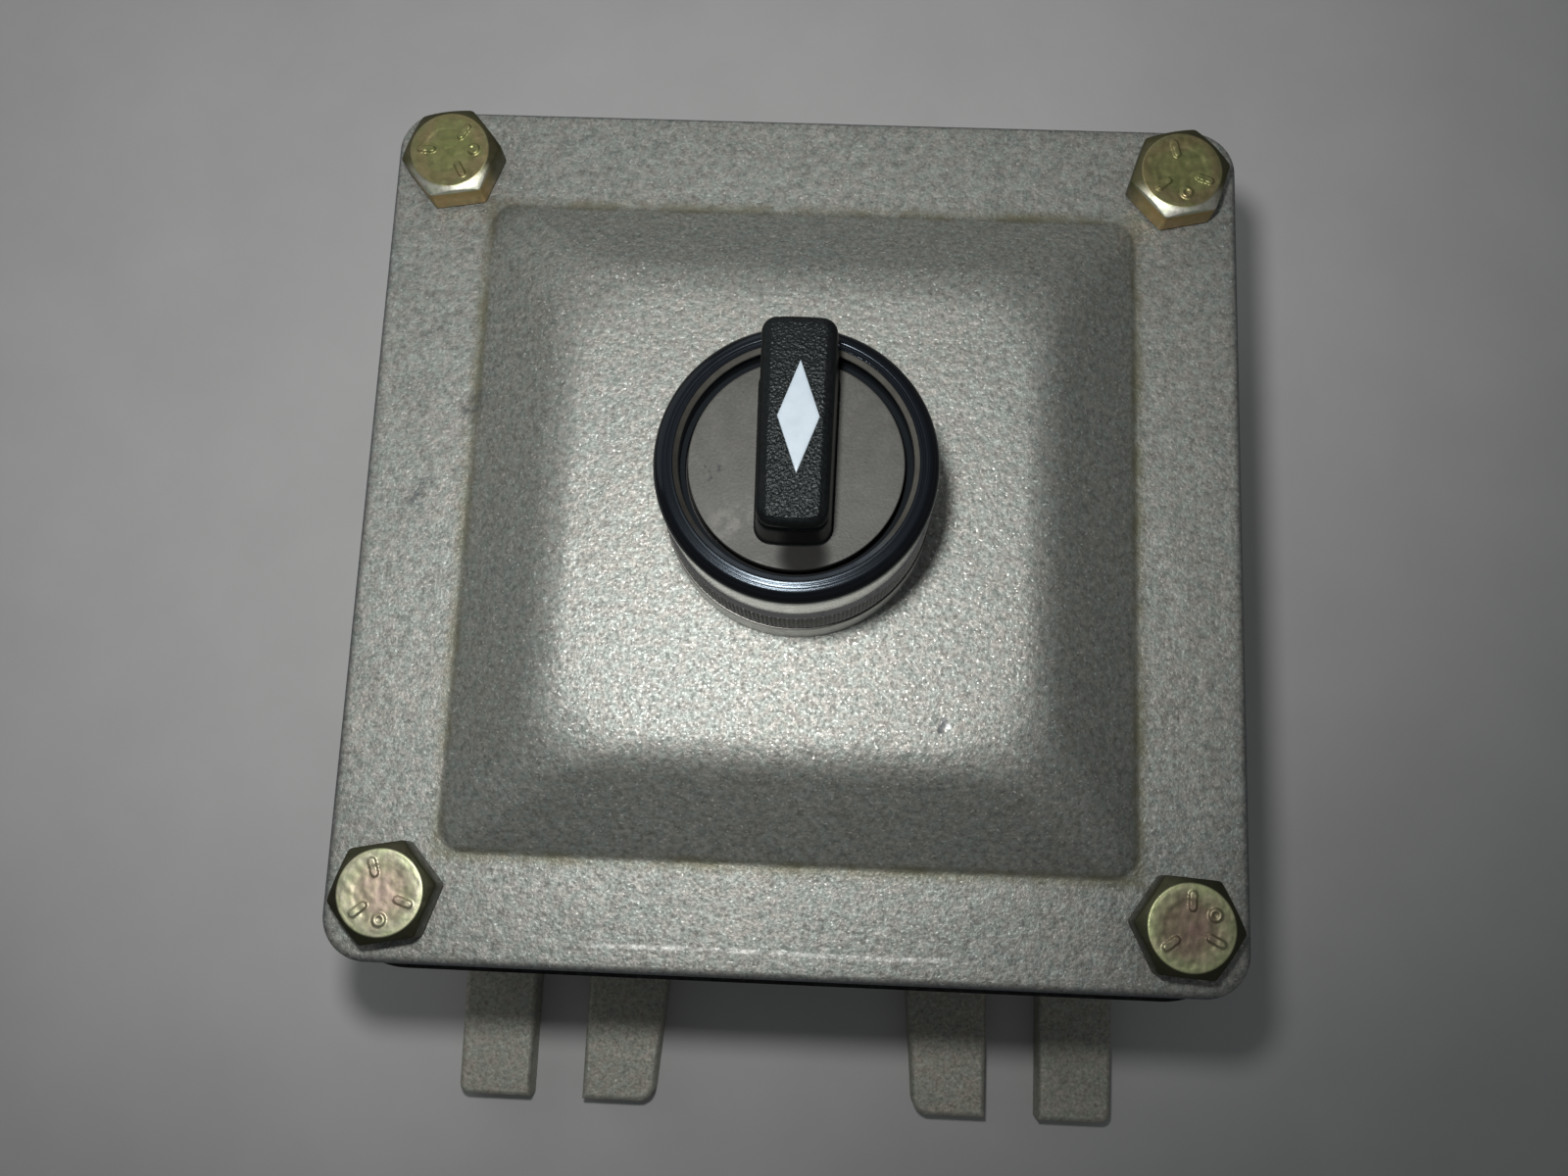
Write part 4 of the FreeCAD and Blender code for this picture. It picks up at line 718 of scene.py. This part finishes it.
# ---------------------------------------------------------------- cover bolts
def build_bolt(name, cx, cy, turn, marks, dot):
    """Hex cap screw head with a dished face, raised grade marks, washer face and thread."""
    apothem, seat, top = 7.145, FLANGE_Z, FLANGE_Z + 6.2
    count = 240
    base = math.radians(turn)
    angles = [base + 2 * math.pi * i / count for i in range(count)]

    def hexa(phi):
        a = (phi - base) % (math.pi / 3) - math.pi / 6
        rho = apothem / math.cos(a)
        return min(rho, 8.12)  # corners very slightly rounded

    def face_height(rho, phi):
        z = top
        if rho > 6.3:
            z -= (rho - 6.3) * 0.58
        if rho < 4.5:
            t = min(1.0, (4.5 - rho) / 0.9)
            z -= 0.07 * (3 * t * t - 2 * t * t * t)
        elif rho < 6.3:
            z += 0.03 * math.sin(math.pi * (rho - 4.5) / 1.8)
        for mark in marks:
            a = phi - math.radians(mark)
            u = rho * math.cos(a)
            v = rho * math.sin(a)
            if 2.1 < u < 5.5 and abs(v) < 1.0:
                past = max(0.0, 2.95 - u, u - 4.75)
                off_line = math.hypot(past, v)
                z += 0.36 * max(0.0, min(1.0, (0.70 - off_line) / 0.30))
        # a plain raised dot between two of the bars
        a = phi - math.radians(dot)
        away = math.hypot(rho * math.cos(a) - 3.9, rho * math.sin(a))
        z += 0.34 * max(0.0, min(1.0, (1.15 - away) / 0.35))
        if away < 0.55:
            z -= 0.16 * min(1.0, (0.55 - away) / 0.25)
        wobble = noise.noise(Vector((cx + rho * math.cos(phi), cy + rho * math.sin(phi), 0)) * 0.9)
        return z + 0.05 * wobble * (1 if rho < 6 else 0.2)

    rings = []
    radii = [0.15 * i for i in range(1, 42)] + [6.25, 6.32, 6.45, 6.7, 6.9]
    for r in radii:
        rings.append([(cx + r * math.cos(p), cy + r * math.sin(p), face_height(r, p)) for p in angles])
    for inset, drop in ((0.14, 0.0), (0.05, 0.04), (0.0, 0.12)):
        ring = []
        for p in angles:
            r = hexa(p) - inset
            r = max(r, 6.95)
            ring.append((cx + r * math.cos(p), cy + r * math.sin(p), top - (r - 6.3) * 0.58 - drop))
        rings.append(ring)
    for z in (seat + 3.4, seat + 0.75):
        rings.append([(cx + hexa(p) * math.cos(p), cy + hexa(p) * math.sin(p), z) for p in angles])
    for inset, z in ((0.10, seat + 0.5), (0.35, seat + 0.4)):
        rings.append([(cx + (hexa(p) - inset) * math.cos(p), cy + (hexa(p) - inset) * math.sin(p), z) for p in angles])
    for r, z in ((6.75, seat + 0.4), (6.75, seat), (4.72, seat), (4.72, seat - 8.4), (4.25, seat - 8.8)):
        rings.append([(cx + r * math.cos(p), cy + r * math.sin(p), z) for p in angles])
    z = seat - 9.0
    while z > seat - 24.6:
        rings.append([
            (cx + r * math.cos(p), cy + r * math.sin(p), z)
            for p in angles
            for r in (4.245 - 0.62 * abs(((z / 1.588 - p / (2 * math.pi)) % 1.0) * 2 - 1),)
        ])
        z -= 0.2
    for r, z in ((3.6, seat - 24.8), (3.1, seat - 25.35)):
        rings.append([(cx + r * math.cos(p), cy + r * math.sin(p), z) for p in angles])
    verts, faces = skin(rings, closed_loop=False, caps=True)
    return mesh_object(name, verts, faces, 34.0)


bolt_parts = [
    build_bolt("bolt_lower_left", -59.4, -59.4, 11, (108, 221, 342), 275),
    build_bolt("bolt_lower_right", 59.4, -59.4, -4, (88, 217, 333), 30),
    build_bolt("bolt_upper_left", -59.4, 59.4, 9.5, (180, 57, 300), 3),
    build_bolt("bolt_upper_right", 59.4, 59.4, 12.6, (105, 220, 338), 280),
]
for piece in bolt_parts:
    finish_piece(piece, "cover_bolts", "root", "zinc_bolt")


# ---------------------------------------------------------------- operator stack
def soft_outline(points, r=0.25, steps=3):
    """Rounds every corner of a closed (radius, height) outline a little."""
    out = []
    n = len(points)
    for i in range(n):
        a, b, c = Vector(points[i - 1]), Vector(points[i]), Vector(points[(i + 1) % n])
        u, v = a - b, c - b
        cut_len = min(r, u.length * 0.4, v.length * 0.4)
        p, q = b + u.normalized() * cut_len, b + v.normalized() * cut_len
        for k in range(steps + 1):
            t = k / steps
            w = p * (1 - t) ** 2 + b * 2 * t * (1 - t) + q * t ** 2
            out.append((w.x, w.y))
    return out


collar = lathe("trim_collar_turned", soft_outline([
    (15.3, 80.0), (19.65, 80.0), (19.65, 86.5), (15.3, 86.5)], 0.15), 256)
finish_piece(collar, "trim_collar", "root", "nickel", "collar")


def build_ring_nut():
    count = 960
    teeth = 96
    lead = 1.24
    rings = []

    def ring(r, z):
        rings.append([(r * math.cos(2 * math.pi * j / count), r * math.sin(2 * math.pi * j / count), z)
                      for j in range(count)])

    def knurled(z, depth):
        row = []
        for j in range(count):
            turn = teeth * j / count
            a = abs(((turn + z / lead) % 1.0) * 2 - 1)
            b = abs(((turn - z / lead) % 1.0) * 2 - 1)
            r = 19.5 - depth * (1 - min(a, b))
            row.append((r * math.cos(2 * math.pi * j / count), r * math.sin(2 * math.pi * j / count), z))
        rings.append(row)

    for r, z in ((14.95, 86.5), (17.2, 86.5), (18.95, 86.5), (19.25, 86.65), (19.36, 86.85)):
        ring(r, z)
    z = 87.0
    while z < 93.95:
        knurled(z, 0.50 * min(1.0, (z - 86.9) / 0.4, (94.05 - z) / 0.4))
        z += 0.155
    for r, z in ((19.40, 94.02), (19.2, 94.15), (18.4, 94.45), (18.4, 95.4), (18.85, 95.55), (18.98, 95.75),
                 (19.0, 96.0), (19.0, 98.6), (19.0, 103.1), (18.95, 103.35), (18.8, 103.5), (16.85, 103.5),
                 (16.85, 101.6), (14.95, 101.6)):
        ring(r, z)
    verts, faces = skin(rings)
    return mesh_object("ring_nut_knurled", verts, faces, 38.0)


nut = build_ring_nut()
finish_piece(nut, "ring_nut", "root", "nickel")


def build_bezel():
    """Convex glossy outer edge, a gently sloped turned face, and a cone down to the groove round the disc."""
    profile = [(15.1, 101.7), (16.8, 101.7), (16.8, 103.5), (19.0, 103.5)]
    profile += arc_points(19.0, 103.8, 0.3, -90, 0, 3)[1:]
    profile += [(19.3, 104.3)]
    for i in range(0, 17):  # quarter of an ellipse over the shoulder
        a = math.radians(90 * i / 16)
        profile.append((17.70 + 1.60 * math.cos(a), 104.55 + 1.80 * math.sin(a)))
    face_from, face_to = (17.62, 106.33), (16.58, 106.41)
    steps = 22
    for i in range(1, steps):
        t = i / steps
        r = face_from[0] + (face_to[0] - face_from[0]) * t
        z = face_from[1] + (face_to[1] - face_from[1]) * t
        profile.append((r, z - (0.010 if i % 2 else 0.0)))
    profile += [(16.52, 106.38), (16.44, 106.30), (16.30, 106.17), (16.15, 106.04), (16.0, 105.91), (15.88, 105.80),
                (15.80, 105.68), (15.80, 105.2), (15.80, 104.0), (15.80, 102.9), (15.1, 102.9)]
    return lathe("bezel_ring_turned", profile, 360, 34.0)


bezel = build_bezel()
finish_piece(bezel, "bezel_ring", "root", "black_enamel")


def build_dial():
    profile = [(4.93, 101.8), (14.55, 101.8), (14.62, 101.85), (14.66, 102.0), (14.66, 104.42)]
    profile += arc_points(14.58, 104.42, 0.08, 0, 90, 3)
    profile += [(14.3, 104.5)] + [(14.3 - 0.9 * i, 104.5) for i in range(1, 10)] + [(4.93, 104.5)]
    return lathe("dial_disc_turned", profile, 220, 40.0)


dial = build_dial()
finish_piece(dial, "dial_disc", "selector", "dial")


# ---------------------------------------------------------------- lever
def lever_outline(half, heel, tip, r_heel, r_tip, z, side=10, turn=8, crown=0.0):
    """Rounded bar outline, counter-clockwise from the heel's right corner."""
    pts = []

    def corner(cx, cy, r, a0):
        for i in range(turn + 1):
            a = math.radians(a0 + 90 * i / turn)
            pts.append((cx + r * math.cos(a), cy + r * math.sin(a), z))

    def run(x0, y0, x1, y1):
        for i in range(1, side):
            t = i / side
            pts.append((x0 + (x1 - x0) * t, y0 + (y1 - y0) * t, z))

    corner(half - r_heel, heel + r_heel, r_heel, -90)
    run(half, heel + r_heel, half, tip - r_tip)
    corner(half - r_tip, tip - r_tip, r_tip, 0)
    run(half - r_tip, tip, -half + r_tip, tip)
    corner(-half + r_tip, tip - r_tip, r_tip, 90)
    run(-half, tip - r_tip, -half, heel + r_heel)
    corner(-half + r_heel, heel + r_heel, r_heel, 180)
    run(-half + r_heel, heel, half - r_heel, heel)
    return pts


def build_lever():
    rings = []
    top, edge = 115.0, 1.15

    def draft(z):
        return (z - 104.0) * math.tan(math.radians(2.5))

    def add(z, grow=0.0, tip=None, heel=None, r_heel=1.8, r_tip=1.9, bow=0.45):
        d = draft(z)
        t = (17.6 - d if tip is None else tip) + grow
        h = (-10.75 + d * 0.5 if heel is None else heel) - grow
        w = 5.1 - d + grow
        ring = lever_outline(w, h, t, max(0.25, r_heel + grow), max(0.25, r_tip + grow), z)
        # the plan widens towards the tip, and both ends bow outwards a little
        out = []
        for x, y, zz in ring:
            k = 1 - min(1.0, (x / max(w, 0.1)) ** 2)
            x += math.copysign(0.35, x) * min(1.0, abs(x) / 3.0) * min(1.0, max(0.0, (y + 11.0) / 28.6))
            if y < h + 2.2:
                y -= bow * k * min(1.0, (h + 2.2 - y) / 1.6)
            elif y > t - 2.8 and tip is None:
                y += 0.28 * (k - 1) * min(1.0, (y - t + 2.8) / 1.6)
            out.append((x, y, zz))
        rings.append(out)

    # column on the disc, with a small flare where it meets it
    add(104.5, 0.25, tip=13.0, r_tip=2.0)
    add(104.58, 0.10, tip=13.0, r_tip=2.0)
    add(104.8, 0.02, tip=13.0, r_tip=2.0)
    add(105.2, 0.0, tip=13.0, r_tip=2.0)
    add(106.0, 0.0, tip=13.1, r_tip=2.0)
    add(107.0, 0.0, tip=13.2, r_tip=2.0)
    add(107.3, 0.0, tip=13.4, r_tip=2.0)
    # the pointer end runs out over the ring
    add(107.42, 0.0, tip=14.2)
    add(107.42, 0.0, tip=16.9)
    add(107.5, 0.0, tip=17.2)
    add(107.8, 0.0)
    for z in (109.0, 110.4, 111.2):
        add(z)
    # the heel face is smooth and leans in, then the grained top overhangs it as a soft lip
    add(111.7, heel=-10.45)
    add(112.1, heel=-10.24)
    add(112.4, heel=-10.10)
    add(112.6, heel=-10.12)
    add(112.74, heel=-10.42)
    add(112.95, heel=-10.56)
    add(113.4, heel=-10.60)
    # top edge rounding
    for i in range(0, 9):
        a = math.radians(90 * i / 8)
        z = top - edge + edge * math.sin(a)
        add(z, -edge * (1 - math.cos(a)), heel=-10.60, r_heel=2.0)
    add(top, -1.5, heel=-10.60)
    add(top, -2.6, heel=-10.60, bow=0.1)
    rings.reverse()
    # stem under the grip, bored for the spindle
    reference = lever_outline(5.0, -5.0, 5.0, 3.0, 3.0, 0)
    for r, z in ((4.88, 104.48), (4.88, 100.5), (4.88, 96.25), (4.7, 96.0), (3.05, 96.0), (3.03, 99.0),
                 (3.03, 106.35), (0.6, 106.4)):
        rings.append([(r * math.cos(a), r * math.sin(a), z)
                      for a in (math.atan2(y, x) for x, y, _ in reference)])
    verts, faces = skin(rings, closed_loop=False, caps=True)
    obj = mesh_object("lever_moulded", verts, faces, 38.0)
    gy, gx = 7.65 + 0.10, 2.75 + 0.04
    diamond = prism([(0.3, 3.3 - gy), (0.3 + gx, 3.3), (0.3, 3.3 + gy), (0.3 - gx, 3.3)], 114.15, 116.0)
    tool_verts, tool_faces = round_prism(0, 0, 1.01, -6, 6, 32)
    tool_verts = [(z, x, 99.0 + y) for x, y, z in tool_verts]
    return carve(obj, [diamond, (tool_verts, tool_faces)], sharp=38.0)


lever = build_lever()
finish_piece(lever, "lever_knob", "selector", "lever_plastic")


def build_inlay():
    rings = []
    for inset, z in ((0.0, 114.16), (0.0, 114.96), (0.03, 115.02), (0.10, 115.055), (0.4, 115.06), (1.4, 115.06)):
        k = 1 - inset / 2.585
        pts = []
        corners = [(0, -7.65), (2.75, 0), (0, 7.65), (-2.75, 0)]
        for i in range(4):
            (x0, y0), (x1, y1) = corners[i], corners[(i + 1) % 4]
            for j in range(12):
                t = j / 12
                pts.append((0.3 + (x0 + (x1 - x0) * t) * k, 3.3 + (y0 + (y1 - y0) * t) * k, z))
        rings.append(pts)
    verts, faces = skin(rings, closed_loop=False, caps=True)
    return mesh_object("pointer_inlay_moulded", verts, faces, 40.0)


inlay = build_inlay()
finish_piece(inlay, "pointer_inlay", "selector", "white_plastic")

# ---------------------------------------------------------------- return springs
def build_coil(name, node, x0):
    """Round wire wound in a helix, from its foot in the well to the top of the spring's box."""
    lo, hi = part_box(node)
    wire, mean, pitch = 0.4, 2.7, 2.2
    low, high = lo[2] * 1000 + wire, hi[2] * 1000 - wire
    turns = (high - low) / pitch
    steps, around = int(turns * 40), 14
    lean = math.atan2(pitch, 2 * math.pi * mean)
    verts, faces = [], []
    for i in range(steps + 1):
        t = 2 * math.pi * turns * i / steps
        out = Vector((math.cos(t), math.sin(t), 0))
        run = Vector((-math.sin(t) * math.cos(lean), math.cos(t) * math.cos(lean), math.sin(lean)))
        up = run.cross(out)
        at = Vector((x0, 0, low + (high - low) * i / steps)) + mean * out
        for j in range(around):
            a = 2 * math.pi * j / around
            verts.append(tuple(at + wire * (math.cos(a) * out + math.sin(a) * up)))
    for i in range(steps):
        for j in range(around):
            k = (j + 1) % around
            faces.append((i * around + j, i * around + k, (i + 1) * around + k, (i + 1) * around + j))
    faces.append(tuple(range(around - 1, -1, -1)))
    faces.append(tuple(steps * around + j for j in range(around)))
    coil = mesh_object(name, verts, faces, 60.0)
    coil.data.materials.clear()
    coil.data.materials.append(MATS["steel"])
    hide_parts(node)
    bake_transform(coil)


build_coil("left_return_coil", "left_return_spring", -9.0)
build_coil("right_return_coil", "right_return_spring", 9.0)


# ---------------------------------------------------------------- floor
bpy.ops.mesh.primitive_plane_add(size=6.0, location=(0, 0, -0.0002))
floor = bpy.context.object
floor.name = "floor"
fm = Mat("floor_pale", rough=0.9)
fm.colour(fm.ramp(fm.noise(30, 4.0, 0.6), [(0.3, (0.46, 0.465, 0.46)), (0.7, (0.50, 0.505, 0.50))]))
floor.data.materials.append(fm.mat)


# ---------------------------------------------------------------- lights and camera
def area(name, at, aim, size, power, colour=(1, 1, 1)):
    data = bpy.data.lights.new(name, "AREA")
    data.shape = "DISK"
    data.size = size
    data.energy = power
    data.color = colour
    obj = bpy.data.objects.new(name, data)
    bpy.context.scene.collection.objects.link(obj)
    obj.location = at
    direction = Vector(aim) - Vector(at)
    obj.rotation_euler = direction.to_track_quat("-Z", "Y").to_euler()
    return obj


camera_data = bpy.data.cameras.new("camera")
camera_data.sensor_width = 36.0
camera_data.lens = 1463.03 / 1600.0 * 36.0
camera_data.clip_start = 0.01
camera = bpy.data.objects.new("camera", camera_data)
bpy.context.scene.collection.objects.link(camera)
turn = Matrix((
    (0.9988886462666821, -0.03690437849879485, 0.02931789909139013),
    (0.041929878589335494, 0.9798753413222391, -0.19515686190884804),
    (-0.021525743680505697, 0.19616926955117941, 0.9803337493133437),
))
camera_at = Vector((0.00464451, -0.05413529, 0.29048695))
camera.matrix_world = Matrix.Translation(camera_at) @ turn.to_4x4()
bpy.context.scene.camera = camera

key = bpy.data.lights.new("key", "SPOT")
key.energy = 1.82
key.shadow_soft_size = 0.010
key.spot_size = math.radians(108)
key.spot_blend = 1.0
key.color = (1.0, 1.0, 0.985)
key_obj = bpy.data.objects.new("key", key)
bpy.context.scene.collection.objects.link(key_obj)
key_obj.location = (-0.0130, -0.0145, 0.2905)
key_obj.rotation_euler = (Vector((-0.055, 0.070, 0.05)) - Vector(key_obj.location)).to_track_quat("-Z", "Y").to_euler()
area("fill_left", (-0.80, 0.50, 0.50), (0, 0, 0.05), 1.0, 1.25, (1.0, 1.0, 0.99))
area("fill_top", (-0.12, 0.80, 0.52), (0, 0, 0.05), 0.6, 0.65, (1.0, 1.0, 0.99))
world = bpy.data.worlds.new("studio")
world.use_nodes = True
world.node_tree.nodes["Background"].inputs[0].default_value = (0.80, 0.82, 0.85, 1)
world.node_tree.nodes["Background"].inputs[1].default_value = 0.13
bpy.context.scene.world = world
bpy.context.scene.view_settings.view_transform = "Standard"
